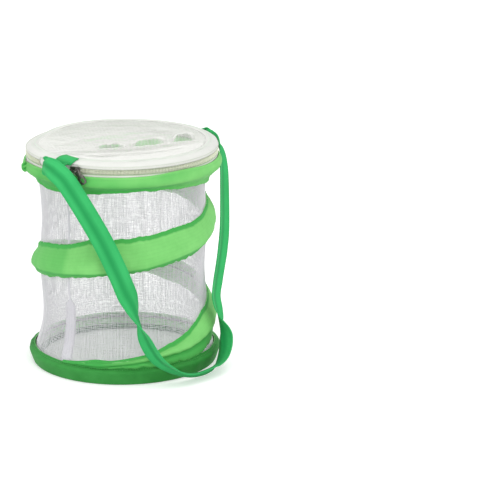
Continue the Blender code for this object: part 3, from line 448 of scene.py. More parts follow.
def ripple(azimuth, across, size, seed):
    """A smooth random push from -1 to 1 that closes round the ring; size is its length in mm."""
    reach = NET_RADIUS / size
    turn = math.radians(azimuth)
    return 2 * noise.noise(Vector((reach * math.cos(turn), reach * math.sin(turn), across + 17.3 * seed)))


print("spiral at the front:", round(spiral_height(-90), 1), "and", round(spiral_height(-450), 1), "mm")

# %% [markdown]
# ## Laying threads with geometry nodes
# The net is not a skin with holes but more than five hundred fine threads, and they all follow
# one rule: every thread lies on the surface that the net hangs in. Geometry nodes suit that well.
# A plain "former" gives the surface. The tree makes straight threads at an even pitch, shoots
# each of their points at the former, and sweeps a small three-sided section along them, because
# at this size nobody can see more sides. Real threads lie a little unevenly, so each point also
# strays by a small random amount, without which the front and back of the net would make
# stripes where they cross. Pitch, thread, reach and straying are inputs, so the same tree could
# lay a coarser net. The result is baked to a plain mesh.

# %% Helpers for geometry nodes
def new_tree(name, inputs):
    """A geometry tree with a geometry input, named inputs and a geometry output."""
    made = bpy.data.node_groups.new(name, "GeometryNodeTree")
    made.interface.new_socket("Geometry", in_out="INPUT", socket_type="NodeSocketGeometry")
    for label, kind, value in inputs:
        socket = made.interface.new_socket(label, in_out="INPUT", socket_type="NodeSocket" + kind)
        if value is not None:
            socket.default_value = value
    made.interface.new_socket("Geometry", in_out="OUTPUT", socket_type="NodeSocketGeometry")
    return made, made.nodes.new("NodeGroupInput").outputs, made.nodes.new("NodeGroupOutput")


def realized(tree, geometry):
    """Instances made real, because the export drops them."""
    return put(tree, "GeometryNodeRealizeInstances", {0: geometry}).outputs[0]


def finish_tree(tree, geometry, finish, end):
    """Close a tree with its thread's finish: instances become real, then take the material."""
    painted = put(tree, "GeometryNodeSetMaterial", {"Geometry": realized(tree, geometry), "Material": finish})
    tree.links.new(painted.outputs[0], end.inputs[0])


def xyz(tree, **parts):
    """A vector from its X, Y and Z; one that isn't given is 0."""
    return put(tree, "ShaderNodeCombineXYZ", parts).outputs[0]


def swept(tree, curve, thickness):
    """Sweep a three-sided section of a given radius along curves, with closed ends."""
    section = put(tree, "GeometryNodeCurvePrimitiveCircle", {"Resolution": 3, "Radius": thickness})
    return put(tree, "GeometryNodeCurveToMesh", {
        "Curve": curve, "Profile Curve": section.outputs[0], "Fill Caps": True}).outputs[0]


def made_by(tree, former, name, **values):
    """Run a tree on a former and bake it to a plain mesh; the former goes."""
    modifier = former.modifiers.new("tree", "NODES")
    modifier.node_group = tree
    for item in tree.interface.items_tree:
        if item.in_out == "INPUT" and item.name in values:
            modifier[item.identifier] = values[item.name]
    graph = bpy.context.evaluated_depsgraph_get()
    mesh = bpy.data.meshes.new_from_object(former.evaluated_get(graph))
    mesh.name = name
    mesh.materials.clear()
    mesh.materials.append(values["Finish"])
    mesh.polygons.foreach_set("material_index", [0] * len(mesh.polygons))
    bpy.data.objects.remove(former)
    return add_object(name, mesh)


def grid_mesh(name, rows, wrap=False):
    """A mesh through rows of points; wrap joins the last row to the first."""
    flat = [point for row in rows for point in row]
    wide, count = len(rows[0]), len(rows)
    faces = []
    for i in range(count if wrap else count - 1):
        here, there = i * wide, (i + 1) % count * wide
        faces += [(here + j, there + j, there + j + 1, here + j + 1) for j in range(wide - 1)]
    mesh = bpy.data.meshes.new(name)
    mesh.from_pydata(flat, [], faces)
    return add_object(name, mesh)


def triangles(made):
    """How many triangles a piece has."""
    made.data.calc_loop_triangles()
    return len(made.data.loop_triangles)


# %% The tree for the wall's net
wall_tree, given, end = new_tree("net_wall_threads", [
    ("Pitch", "Float", 0.0015), ("Thread", "Float", 0.0003), ("Radius", "Float", 0.085),
    ("Foot", "Float", 0.001), ("Head", "Float", 0.195), ("Wander", "Float", 0.0003), ("Finish", "Material", None)])


def wandering(tree, points, amount, seed):
    """Shift each point by a random amount, up to the given one along each axis."""
    push = put(tree, "FunctionNodeRandomValue", {0: (-1, -1, -1), 1: (1, 1, 1), "Seed": seed}, data_type="FLOAT_VECTOR")
    push = put(tree, "ShaderNodeVectorMath", {0: push.outputs[0], "Scale": amount}, operation="SCALE").outputs[0]
    return put(tree, "GeometryNodeSetPosition", {"Geometry": points, "Offset": push}).outputs[0]


tall = sums(wall_tree, "SUBTRACT", given["Head"], given["Foot"])
around = sums(wall_tree, "FLOOR", sums(
    wall_tree, "DIVIDE", sums(wall_tree, "MULTIPLY", given["Radius"], 2 * math.pi), given["Pitch"]))
steps = sums(wall_tree, "FLOOR", sums(wall_tree, "DIVIDE", tall, given["Pitch"]))
start = xyz(wall_tree, Z=given["Foot"])
upright = put(wall_tree, "GeometryNodeCurvePrimitiveLine", {"Start": start, "End": xyz(wall_tree, Z=given["Head"])})
upright = put(wall_tree, "GeometryNodeResampleCurve", {"Curve": upright.outputs[0], "Count": 30})
posts = put(wall_tree, "GeometryNodeMeshCircle", {"Vertices": around, "Radius": given["Radius"]})
levels = put(wall_tree, "GeometryNodeMeshLine", {
    "Count": steps, "Start Location": start, "Offset": xyz(wall_tree, Z=given["Pitch"])})
hoop = put(wall_tree, "GeometryNodeCurvePrimitiveCircle", {"Resolution": 100, "Radius": given["Radius"]})
threads = put(wall_tree, "GeometryNodeJoinGeometry")
for places, thread, seed in ((posts, upright, 4), (levels, hoop, 9)):
    part = put(wall_tree, "GeometryNodeInstanceOnPoints", {
        "Points": wandering(wall_tree, places.outputs[0], given["Wander"], seed), "Instance": thread.outputs[0]})
    wall_tree.links.new(realized(wall_tree, part.outputs[0]), threads.inputs[0])
uneven = wandering(wall_tree, threads.outputs[0], sums(wall_tree, "MULTIPLY", given["Wander"], 1.5), 5)
where = put(wall_tree, "GeometryNodeInputPosition").outputs[0]
axis = put(wall_tree, "ShaderNodeVectorMath", {0: where, 1: (0, 0, 1)}, operation="MULTIPLY").outputs[0]
out = put(wall_tree, "ShaderNodeVectorMath", {0: where, 1: (1, 1, 0)}, operation="MULTIPLY").outputs[0]
shot = put(wall_tree, "GeometryNodeRaycast", {
    "Target Geometry": given["Geometry"], "Source Position": axis, "Ray Direction": out, "Ray Length": 0.2})
laid = put(wall_tree, "GeometryNodeSetPosition", {
    "Geometry": uneven, "Selection": shot.outputs["Is Hit"], "Position": shot.outputs["Hit Position"]})
finish_tree(wall_tree, swept(wall_tree, laid.outputs[0], given["Thread"]), given["Finish"], end)
print("nodes in the wall's tree:", len(wall_tree.nodes))

# %% The wall's net, laid on its former
NET_FOOT, NET_HEAD = 1.2, 201.5
rows = []
for i in range(120):
    azimuth = 3 * i
    row = []
    for j in range(66):
        height = NET_FOOT - 0.5 + (NET_HEAD - NET_FOOT + 1) * j / 65
        push = 0.05 * ripple(azimuth, height / 60, 34, 1)
        row.append(at(net_radius(azimuth, height) - 0.4 + push, azimuth, height))
    rows.append(row)
net = made_by(wall_tree, grid_mesh("former", rows, wrap=True), "wall_net", Pitch=0.00135, Thread=0.000207,
              Radius=NET_RADIUS * MM, Foot=NET_FOOT * MM, Head=NET_HEAD * MM, Wander=0.00022, Finish=net_thread)
print("wall net:", triangles(net), "triangles")

# %% [markdown]
# The lid's net is the same cloth, cut round and sewn in with too much of it, so it sags and lies
# in folds: a long one runs across the front half, and behind it the net falls in three places
# and climbs again towards the back. There it turns to the eye, its gaps open, and the inside of
# the cage shows, while seen low over the rest the threads close up and look white. At the back
# left the soft rim has slumped. The former is a height for every place in the circle, with the
# folds as soft ridges and hollows, and the tree drops the threads onto it.

# %% The lid's height
LID_REACH, LID_SEAM = 86.6, 227.4
RIDGE_LINE = ((-66, -54), (-44, -46), (-24, -41), (-3, -36), (29, -24), (62, -9), (84, -4))
FOLDS = (  # height, width, then the points the fold runs through
    (3.4, 4.2, RIDGE_LINE),
    (1.6, 4.0, ((-50, -66), (-30, -60), (-5, -56), (30, -46), (60, -30))),
    (0.6, 7.0, ((-70, -18), (-45, 8), (-20, 30), (8, 44))), (0.6, 7.0, ((20, 62), (45, 44), (66, 22))),
)
WINDOWS = (  # depth, middle and half width across the lid, reach behind the ridge
    (8.5, -10.5, 15.0, 25), (8.7, 27.0, 17.5, 30), (9.2, 60.5, 10.5, 30),
)
HOLLOWS = ((2.6, (-20, -62), (16, 5)), (2.4, (-44, -60), (9, 5)))  # depth, middle, reach across and along


def fold_distance(x, y, line):
    """How far a point is from a fold, in mm, and how near to the fold's end, from 0 to 1."""
    best, total = (1e9, 0.0), len(line) - 1
    for i, (a, b) in enumerate(zip(line, line[1:])):
        ax, ay, bx, by = *a, *b
        share = ((x - ax) * (bx - ax) + (y - ay) * (by - ay)) / ((bx - ax) ** 2 + (by - ay) ** 2)
        share = clamped(share)
        gap = math.hypot(x - ax - share * (bx - ax), y - ay - share * (by - ay))
        best = min(best, (gap, (i + share) / total))
    return best


def ridge_place(x):
    """How far back the long fold's ridge lies at a place across the lid."""
    for (ax, ay), (bx, by) in zip(RIDGE_LINE, RIDGE_LINE[1:]):
        if x <= bx:
            return ay + (by - ay) * clamped((x - ax) / (bx - ax))
    return RIDGE_LINE[-1][1]


def near(azimuth, middle, spread):
    """1 at one place on the ring, falling to 0 over a spread in degrees."""
    return math.exp(-(((azimuth - middle + 180) % 360 - 180) / spread) ** 2)


def slump(azimuth):
    """Where the rim has gone soft at the back left, from 0 to 1."""
    return near(azimuth, 165, 23)


def lid_height(x, y):
    """The lid net's height over a place, in mm."""
    share = math.hypot(x, y) / LID_REACH
    drop = 4.6 * (1 - share * share) + 3.3 * slump(math.degrees(math.atan2(y, x))) * share ** 5
    free = max(0.0, 1 - share ** 6)
    lift = 0.0
    for height, width, line in FOLDS:
        gap, along = fold_distance(x, y, line)
        lift += height * math.exp(-(gap / width) ** 2) * math.sin(math.pi * (0.12 + 0.76 * along))
    behind = y - ridge_place(x)
    fall = clamped((behind + 0.6) / 3.4)
    for depth, middle, half, reach in WINDOWS:
        inside = 1 - ((x - middle) / half) ** 2 + 0.5 * noise.noise(Vector((x / 4.5, 2.5, middle)))
        lift -= depth * max(0.0, inside - behind / reach) * fall * fall * (3 - 2 * fall)
        lift += 6.4 * clamped(inside) * math.exp(-((behind - 0.85 * reach) / (0.36 * reach)) ** 2)
    for depth, (hx, hy), (wide, deep) in HOLLOWS:
        lift -= depth * math.exp(-((x - hx) / wide) ** 2 - ((y - hy) / deep) ** 2)
    lift += 0.35 * noise.noise(Vector((x / 16, y / 11, 3.1))) + 0.15 * noise.noise(Vector((x / 6, y / 4, 8.2)))
    return LID_SEAM - drop + free * lift


def round_former(name, reach, rings, turns, height_at):
    """A round surface from its middle to its rim; height_at gives the height of (x, y)."""
    mesh = bpy.data.meshes.new(name)
    points = [Vector((0, 0, height_at(0, 0))) * MM]
    for i in range(1, rings + 1):
        for j in range(turns):
            spot = at(reach * i / rings, 360 * j / turns, 0)
            spot.z = height_at(spot.x / MM, spot.y / MM) * MM
            points.append(spot)
    faces = [(0, 1 + j, 1 + (j + 1) % turns) for j in range(turns)]
    for i in range(rings - 1):
        low, high = 1 + i * turns, 1 + (i + 1) * turns
        faces += [(low + j, high + j, high + (j + 1) % turns, low + (j + 1) % turns) for j in range(turns)]
    mesh.from_pydata(points, [], faces)
    return add_object(name, mesh)


print("lid's middle:", round(lid_height(0, 0), 1), "mm, in a window:", round(lid_height(27, -19), 1), "mm")

# %% The tree for the lid's net
lid_tree, given, end = new_tree("net_lid_threads", [
    ("Pitch", "Float", 0.0015), ("Thread", "Float", 0.0003), ("Reach", "Float", 0.086),
    ("Finish", "Material", None)])
less = sums(lid_tree, "MULTIPLY", given["Reach"], -1.0)
count = sums(lid_tree, "FLOOR", sums(
    lid_tree, "DIVIDE", sums(lid_tree, "MULTIPLY", given["Reach"], 2.0), given["Pitch"]))
threads = put(lid_tree, "GeometryNodeJoinGeometry")
for run, step in (("X", "Y"), ("Y", "X")):
    line = put(lid_tree, "GeometryNodeCurvePrimitiveLine", {
        "Start": xyz(lid_tree, **{run: less}), "End": xyz(lid_tree, **{run: given["Reach"]})})
    line = put(lid_tree, "GeometryNodeResampleCurve", {"Curve": line.outputs[0], "Count": 76})
    starts = put(lid_tree, "GeometryNodeMeshLine", {
        "Count": count, "Start Location": xyz(lid_tree, **{step: less}),
        "Offset": xyz(lid_tree, **{step: given["Pitch"]})})
    lines = put(lid_tree, "GeometryNodeInstanceOnPoints", {"Points": starts.outputs[0], "Instance": line.outputs[0]})
    lid_tree.links.new(realized(lid_tree, lines.outputs[0]), threads.inputs[0])

# Each point is shot from high above, straight down onto the former; one that misses is cut off.
where = put(lid_tree, "GeometryNodeInputPosition").outputs[0]
high = put(lid_tree, "ShaderNodeVectorMath", {0: where, 1: (0, 0, 1)}, operation="ADD").outputs[0]
shot = put(lid_tree, "GeometryNodeRaycast", {
    "Target Geometry": given["Geometry"], "Source Position": high, "Ray Direction": (0, 0, -1), "Ray Length": 2.0})
missed = put(lid_tree, "FunctionNodeBooleanMath", {0: shot.outputs["Is Hit"]}, operation="NOT").outputs[0]
cut = put(lid_tree, "GeometryNodeDeleteGeometry", {"Geometry": threads.outputs[0], "Selection": missed},
          domain="POINT")
laid = put(lid_tree, "GeometryNodeSetPosition", {
    "Geometry": cut.outputs[0], "Position": shot.outputs["Hit Position"]})
finish_tree(lid_tree, swept(lid_tree, laid.outputs[0], given["Thread"]), given["Finish"], end)
print("nodes in the lid's tree:", len(lid_tree.nodes))

# %% The lid's net, dropped on its former
former = round_former("former", LID_REACH, 56, 180, lid_height)
lid_net = made_by(lid_tree, former, "lid_mesh", Pitch=0.0014, Thread=0.00022, Reach=LID_REACH * MM,
                  Finish=lid_thread)
print("lid net:", triangles(lid_net), "triangles")

# %% [markdown]
# The long fold is a pleat: in front of its ridge the net lies double, so it looks solid white and
# ends in a crisp edge over the hollows. The second layer is laid by the same tree on a former of
# its own, half a pitch aside, from just behind the ridge down to the seam in front.

# %% The pleat in front of the ridge
rows = []
for i in range(80):
    x = -65 + 147 * i / 79
    back, front = ridge_place(x) + 1.6, -math.sqrt(86.2 ** 2 - x * x)
    row = []
    for j in range(36):
        y = back + (front - back) * (j / 35) ** 1.3
        row.append(Vector((x, y, lid_height(x, min(y, ridge_place(x) - 0.7)) + 0.8)) * MM)
    rows.append(row)
lid_pleat = made_by(lid_tree, grid_mesh("former", rows), "lid_pleat", Pitch=0.0014, Thread=0.00026,
                    Reach=(LID_REACH - 0.7) * MM, Finish=lid_thread)
print("pleat:", triangles(lid_pleat), "triangles")

# %% [markdown]
# ## Cloth sleeves
# Every sleeve is one strip of cloth folded round a wire. Rather than model a block, each is a grid of points, one row
# for each step round the ring and one column for each step across the strip, through its folds and turned hems. The
# grid is a single layer. It gets a map in metres for the weave, a number on each point for the hems and for painted
# shade, and then a real thickness from a Solidify modifier, which is baked so that the piece is a closed shell.

# %% Helper: a cloth from rows of points
def smooth_path(points, steps):
    """A line through every (radius, height) point, with steps points from each to the next."""
    points = [Vector(p) for p in points]
    line = [points[0] * 2 - points[1], *points, points[-1] * 2 - points[-2]]
    path = []
    for i in range(1, len(line) - 2):
        a, b, c, d = line[i - 1:i + 3]
        for step in range(steps):
            t = step / steps
            path.append((b * 2 + (c - a) * t + (a * 2 - b * 5 + c * 4 - d) * t ** 2
                         + (b * 3 - a - c * 3 + d) * t ** 3) / 2)
    return [*path, points[-1]]


def baked(made):
    """The object with its modifiers run and gone."""
    graph = bpy.context.evaluated_depsgraph_get()
    mesh = bpy.data.meshes.new_from_object(made.evaluated_get(graph))
    made.modifiers.clear()
    made.data = mesh
    return made


def paint(mesh, name, values):
    """Give each point of a mesh a number, which a finish reads by its name."""
    marks = mesh.attributes.new(name, "FLOAT", "POINT")
    marks.data.foreach_set("value", np.array(values, dtype=np.float32))


def lay_map(mesh, corners):
    """Give a mesh its map for the weave: a pair of metres for each corner of its faces."""
    mesh.uv_layers.new(name="cloth").data.foreach_set("uv", np.array(corners, dtype=np.float32).ravel())


def cloth(name, rows, finish, thickness, wrap=False, layers=None, turn_over=False):
    """A cloth of a real thickness through rows of points, with its map, and its hems and painted shade marked."""
    if turn_over:
        rows = [list(reversed(row)) for row in rows]
        layers = [list(reversed(row)) for row in layers] if layers else None
    made = grid_mesh(name, rows, wrap)
    mesh, wide = made.data, len(rows[0])
    down = [0.0]
    for a, b in zip(rows[0], rows[0][1:]):
        down.append(down[-1] + (b - a).length)
    run = [0.0]
    for a, b in zip(rows, [*rows[1:], rows[0]]):
        run.append(run[-1] + (b[wide // 2] - a[wide // 2]).length)
    columns = len(rows) if wrap else len(rows) - 1
    corners = []
    for i in range(columns):
        for j in range(wide - 1):
            corners += [(run[i], down[j]), (run[i + 1], down[j]), (run[i + 1], down[j + 1]), (run[i], down[j + 1])]
    lay_map(mesh, corners)
    paint(mesh, "layers", [v for row in layers for v in row] if layers else [0.0] * len(mesh.vertices))
    mesh.materials.append(finish)
    mesh.shade_smooth()
    thick = made.modifiers.new("thickness", "SOLIDIFY")
    thick.thickness, thick.offset = thickness * MM, 0
    thick.use_even_offset = False
    return baked(made)


def volume(made):
    """A closed mesh's volume; it is negative if its faces look inwards."""
    made.data.calc_loop_triangles()
    spots = made.data.vertices
    return sum(spots[a].co.dot(spots[b].co.cross(spots[c].co)) / 6
               for a, b, c in (t.vertices for t in made.data.loop_triangles))


def tell(*pieces):
    """Print what each piece came to."""
    for piece in pieces:
        print(piece.name, triangles(piece), "triangles, volume", round(volume(piece) * 1e6, 2), "ml")


def sleeve(name, rows, finish, thickness, **settings):
    """A green sleeve: a cloth with its faces turned out, and the points that face the axis marked, where the paler
    reverse colour is painted in as painted light.
    """
    made = cloth(name, rows, finish, thickness, **settings)
    if volume(made) < 0:
        bpy.data.objects.remove(made)
        made = cloth(name, rows, finish, thickness, turn_over=True, **settings)
    # Painted light: the points that face the axis take the paler reverse colour.
    paint(made.data, "reverse_painted_light", [
        1.0 if v.normal.xy.dot(v.co.xy) < -0.35 * v.co.xy.length else 0.0 for v in made.data.vertices])
    tell(made)
    return made


# %% [markdown]
# The top sleeve rolls over the top wire and tapers down to a hem on the net. Its mouth holds the
# zip's tape. From the front its face is a smooth light roll, and its lower hem waves a little,
# because the cloth is stitched with some fullness. The push is small noise that closes round the
# ring and grows towards the hem. The tape holds the mouth, but it has slipped down at the left.

# %% The top ring's sleeve
TOP_FACE = ((96.8, 213.2), (98.0, 211.7), (99.4, 208.9), (99.9, 206.4), (99.6, 204.4), (98.3, 202.9),
            (94.6, 200.4), (90.6, 197.4), (88.3, 195.3), (87.5, 193.9), (87.1, 192.1))
TOP_FOLD = ((86.5, 191.5), (85.85, 192.2), (85.75, 199.4), (89.9, 205.6), (94.4, 212.8))


def hem_rise(azimuth):
    """How much higher the top hem lies than its mean, in mm: high in front, low at the right."""
    return 4.4 * near(azimuth, -75, 36) - 4.6 * near(azimuth, 2, 24) - 1.6 * near(azimuth, -146, 16)


def mouth_rise(azimuth):
    """How much higher the mouth lies on the zip's tape at the front right; at the left it has slipped."""
    return 2.4 * near(azimuth, -50, 18) - 5.4 * near(azimuth, 179, 17)


RING_TURNS = [1.25 * i for i in range(288)]  # a row of a round cloth's points every 1.25 degrees


def ring_rows(face, fold, push_at):
    """Rows of points for a sleeve round a ring, and how deep a colour each point takes, for its hems and for painted
    shade.
    """
    path = smooth_path([*face, *fold], 3)
    face_count = (len(face) - 1) * 3
    rows, layers = [], []
    for azimuth in RING_TURNS:
        row, marks = [], []
        for j, (radius, height) in enumerate(path):
            out, up, mark = push_at(azimuth, j / face_count, height)
            row.append(at(radius + out, azimuth, max(height + up, 0.3)))
            marks.append(mark)
        rows.append(row)
        layers.append(marks)
    return rows, layers


def top_push(azimuth, share, height):
    """Waves in the top sleeve: out, up, and how deep its colour is, for its hem and for painted shade."""
    if share > 1.25:
        return 0.0, 0.0, 0.3
    loose = clamped((share - 0.5) / 0.4)
    body = math.sin(math.pi * min(share, 1.0))
    gathered = 1 + 1.6 * near(azimuth, -152, 26)
    out = 0.3 * gathered * body * ripple(azimuth, share * 1.2, 13 / gathered, 1)
    out += 0.35 * loose * max(-0.4, ripple(azimuth, 0, 7, 2)) + 0.05 * loose * hem_rise(azimuth)
    out -= 1.1 * body * near(azimuth, 180, 18)
    up = loose * (0.5 * ripple(azimuth, 0, 13, 3) + 0.35 * ripple(azimuth, 0, 4, 4) + hem_rise(azimuth))
    up += max(0.0, 1 - share * 5) * mouth_rise(azimuth)
    # Painted shade: the roll is darker in front and at the left and lighter at its right, over a random tone.
    painted_shade = min(share * 9, 1.0) * (
        0.24 + 0.2 * ripple(azimuth, share * 2, 22, 18) + 0.42 * near(azimuth, -106, 32)
        + 0.28 * near(azimuth, -155, 26) - 0.18 * near(azimuth, -40, 26))
    # From just under the roll's outermost point down to the hem the cloth takes the deeper colour: the turned hem, and
    # painted shade on the face that looks down, with less of it at the right.
    return out, up, max(clamped((share - 0.46) / 0.05) * (1 - 0.6 * near(azimuth, -28, 32)), painted_shade)


rows, layers = ring_rows(TOP_FACE, TOP_FOLD, top_push)
top_sleeve = sleeve("top_sleeve", rows, green_cloth, 0.5, wrap=True, layers=layers)

# %% [markdown]
# The bottom sleeve stands on the table on a flat foot. Where the spiral's sleeve runs into it the two are sewn through
# together, which gathers the cloth, so its waves grow towards the front right. It is painted the deepest green of the
# cage, as painted shade, because its face looks down and away from the light.

# %% The bottom ring's sleeve
BOTTOM_FACE = ((91.9, 17.6), (92.2, 16.2), (93.6, 15.5), (95.5, 14.9), (96.7, 13.7), (96.95, 12.0), (96.5, 9.8),
               (95.0, 5.2), (93.6, 1.2), (93.0, 0.5))
BOTTOM_FOLD = ((92.2, 0.45), (91.6, 0.7), (91.5, 2.4), (91.5, 6.0), (91.4, 10.5))


def bottom_push(azimuth, share, height):
    """Waves in the bottom sleeve: out, up, and how much of a hem."""
    if share > 1.0:
        return 0.0, 0.0, 0.5
    free = math.sin(math.pi * share)
    gathered = 0.4 + 0.7 * near(azimuth, 312, 30)
    out = free * gathered * (0.5 * ripple(azimuth, share * 1.5, 12, 5) + 0.3 * ripple(azimuth, share * 2, 5, 6))
    hem = max(0.0, 1 - share * 3.5)
    up = free * gathered * 0.35 * ripple(azimuth, share, 9, 7) + hem * gathered * (
        0.6 * ripple(azimuth, 0, 9, 8) + 0.3 * ripple(azimuth, 0, 4, 9))
    return out, max(up, 0.4 - height if height > 0.4 else 0.0), 1.0 if share < 0.12 else 0.0


rows, layers = ring_rows(BOTTOM_FACE, BOTTOM_FOLD, bottom_push)
bottom_sleeve = sleeve("bottom_sleeve", rows, green_cloth_painted_shade, 0.5, wrap=True, layers=layers)

# %% [markdown]
# The spiral's sleeve is one long strip of more than a turn and a half. It tents from a hem on the
# net out to the wire and back to a lower hem. Between the hems it puckers across its length, as
# a bias-cut strip does on a curve, and the hems flare and wobble where the stitching draws them.

# %% The spiral's sleeve
PEAK = 93.3


def band_row(turn):
    """One row across the spiral's sleeve: points, and how deep a colour each takes."""
    wire = spiral_height(turn)
    high, low = band_edges(turn)
    top_hem, low_hem = min(3.6, 0.4 * (high - wire)), min(3.4, 0.4 * (wire - low))
    wave = ripple(turn, turn / 200, 13, 8)
    fine = ripple(turn, turn / 200, 4, 9)
    room_up, room_low = min((high - wire) / 20, 1), min((wire - low) / 6, 1)
    up = (0.9 * wave + 0.5 * fine) * room_up
    down = (0.6 * ripple(turn, turn / 200, 9, 10) + 0.5 * ripple(turn, turn / 200, 4, 11)) * room_low
    down += 1.1 * near(turn, -408, 12) * ripple(turn, 0, 5, 17)
    flare = 0.2 + 0.5 * max(0.0, ripple(turn, turn / 200, 6, 12))
    flare_low = 0.6 + 0.7 * max(-0.4, ripple(turn, turn / 200, 6, 13))
    press = clamped((wire - low - 1.0) / 4)

    def net(height, lift):
        """A place at a distance from the net."""
        return (net_radius(turn, height) + lift, height)

    tuck = clamped((-395 - turn) / 20)
    peak = PEAK + 1.7 * near(turn, -465, 8)
    high, low = min(high + up + 1.9 * near(turn, -466, 9), 190.0), max(low + down, 17.4 - 2.2 * tuck)
    line = [
        net(high - top_hem, 0.55), net(high - 0.4, 0.45), net(high, 0.8 + flare * room_up),
        net(high - 0.5, 1.3 + flare * room_up), net(high - top_hem, 1.75), net(high - top_hem - 1.4, 2.3),
        (peak - 1.9, wire + 0.42 * (high - wire)), (peak + 0.1, wire + 0.14 * (high - wire)), (peak + 0.3, wire),
        (peak - 0.5, wire - 1.5 * press - 0.3), (peak - 1.9, wire - 2.2 * press - 0.5),
        net(low + low_hem, 3.2 * press + 1.5),
        net(low + 0.5, 1.7 - 0.5 * tuck + (0.6 + flare_low) * press * (1 - tuck)),
        net(low, 1.0 + flare_low * press * (1 - tuck)), net(low + 0.4, 0.5), net(low + low_hem, 0.55),
    ]
    # The hems take the deeper colour, and so does the face just under the wire, as painted shade where it turns down
    # into the crease.
    marks = [1, 1, 1, 1, 0.9, 0.0, 0, 0, 0.1, 0.9, 1, 0.8, 0.7, 0.7, 1, 1]
    # Towards the sleeve's lower end, and between about -215 and -124 degrees, the whole width takes the deeper colour.
    deep = clamped((-432 - turn) / 30)
    left = 0.42 * clamped((-124 - turn) / 4) * clamped((turn + 215) / 30)
    marks = [max(mark, deep, left) for mark in marks]
    fine_line, fine_marks = [], []
    path = smooth_path(line, 2)
    for j, (radius, height) in enumerate(path):
        k = j / 2
        mark = marks[int(k)] * (1 - k % 1) + marks[min(int(k) + 1, len(marks) - 1)] * (k % 1)
        if 4.5 <= k <= 11:
            share = math.sin(math.pi * (k - 4.5) / 6.5)
            radius += share * (0.4 * ripple(turn, turn / 200 + k * 0.12, 9, 14) + 0.2 * ripple(turn, k * 0.2, 4, 15))
            height += share * 0.3 * ripple(turn, turn / 200 + k * 0.1, 12, 16)
        fine_line.append(at(radius, turn, height))
        fine_marks.append(mark)
    return fine_line, fine_marks


turns = [SPIRAL_END + (SPIRAL_START - SPIRAL_END) * i / 500 for i in range(501)]
made_rows = [band_row(turn) for turn in turns]
rows, layers = [row for row, _ in made_rows], [marks for _, marks in made_rows]
spiral_band = sleeve("spiral_band", rows, green_cloth, 0.45, layers=layers)

# %% [markdown]
# The spiral's wire has to go down with the net when the cage is pressed flat, so the wire and its
# two end caps are copies of the plain model's solids in steel. They can then be pressed flat
# with the cloth, which a fixed part can't be.

# %% The spiral wire and its caps
def copy_of(node, name, finish, bevel=0.0):
    """A copy of a plain solid with its corners joined, and rounded if asked for."""
    mesh = nodes[node].data.copy()
    mesh.name = name
    made = add_object(name, mesh)
    bm = bmesh.new()
    bm.from_mesh(mesh)
    bmesh.ops.remove_doubles(bm, verts=bm.verts, dist=1e-6)
    bmesh.ops.dissolve_limit(bm, angle_limit=math.radians(2), verts=bm.verts, edges=bm.edges)
    bm.to_mesh(mesh)
    bm.free()
    mesh.materials.clear()
    mesh.materials.append(finish)
    mesh.polygons.foreach_set("material_index", [0] * len(mesh.polygons))
    mesh.shade_smooth()
    if mesh.has_custom_normals:
        made.select_set(True)
        bpy.context.view_layer.objects.active = made
        bpy.ops.mesh.customdata_custom_splitnormals_clear()
        made.select_set(False)
    mesh.set_sharp_from_angle(angle=math.radians(40))
    if bevel:
        edge = made.modifiers.new("edge", "BEVEL")
        edge.width, edge.segments, edge.angle_limit = bevel * MM, 2, math.radians(30)
        edge.use_clamp_overlap = True
        baked(made)
        made.data.shade_smooth()
    return made


spring = copy_of("spiral_wire", "spring_spiral", spring_steel)
cap_up = copy_of("spiral_wire_cap_upper", "spring_cap_upper", crimp_metal)
cap_low = copy_of("spiral_wire_cap_lower", "spring_cap_lower", crimp_metal)
print("spring:", triangles(spring), "triangles")

# %% [markdown]
# ## Floor, binding and seam
# The floor is a disc of cloth sewn to the foot of the net. It isn't flat: the ring pulls it in
# long low waves. A narrow binding runs round its corner inside. A white tape covers the net's one
# upright seam at the front left. It is broad up to about 74 mm, where both ends of the net
# overlap, and a narrow fold above.

# %% Floor, its binding and the side seam
FLOOR_REACH = 90.2


def floor_wave(x, y):
    """The height of the floor's cloth over a place, in mm."""
    share = math.hypot(x, y) / FLOOR_REACH
    wave = 0.5 * noise.noise(Vector((x / 34, y / 34, 5.5))) + 0.2 * noise.noise(Vector((x / 12, y / 12, 1.5)))
    return 0.55 + max(0.0, 0.45 + wave) * (1 - share ** 4)


floor = round_former("floor_cloth_disc", FLOOR_REACH, 36, 144, floor_wave)
lay_map(floor.data, [tuple(floor.data.vertices[loop.vertex_index].co.xy) for loop in floor.data.loops])
floor.data.materials.append(floor_cloth)
floor.data.shade_smooth()
thick = floor.modifiers.new("thickness", "SOLIDIFY")
thick.thickness, thick.offset = 0.7 * MM, 0
baked(floor)

binding_line = ((84.6, 1.9), (87.6, 1.75), (89.0, 2.1), (89.4, 3.4), (89.45, 5.2))
rows = [[at(r + 0.1 * ripple(a, 0, 6, 20), a, z + (0.25 * ripple(a, 1, 7, 21) if j else 0.15))
         for j, (r, z) in enumerate(smooth_path(binding_line, 3))] for a in [2 * i for i in range(180)]]
floor_trim = cloth("floor_trim", rows, dark_binding, 0.6, wrap=True)


def seam_middle(height):
    """Where the seam runs: it leans a little to the right on its way up."""
    return -129.2 + 1.1 * clamped((height - 20) / 60)


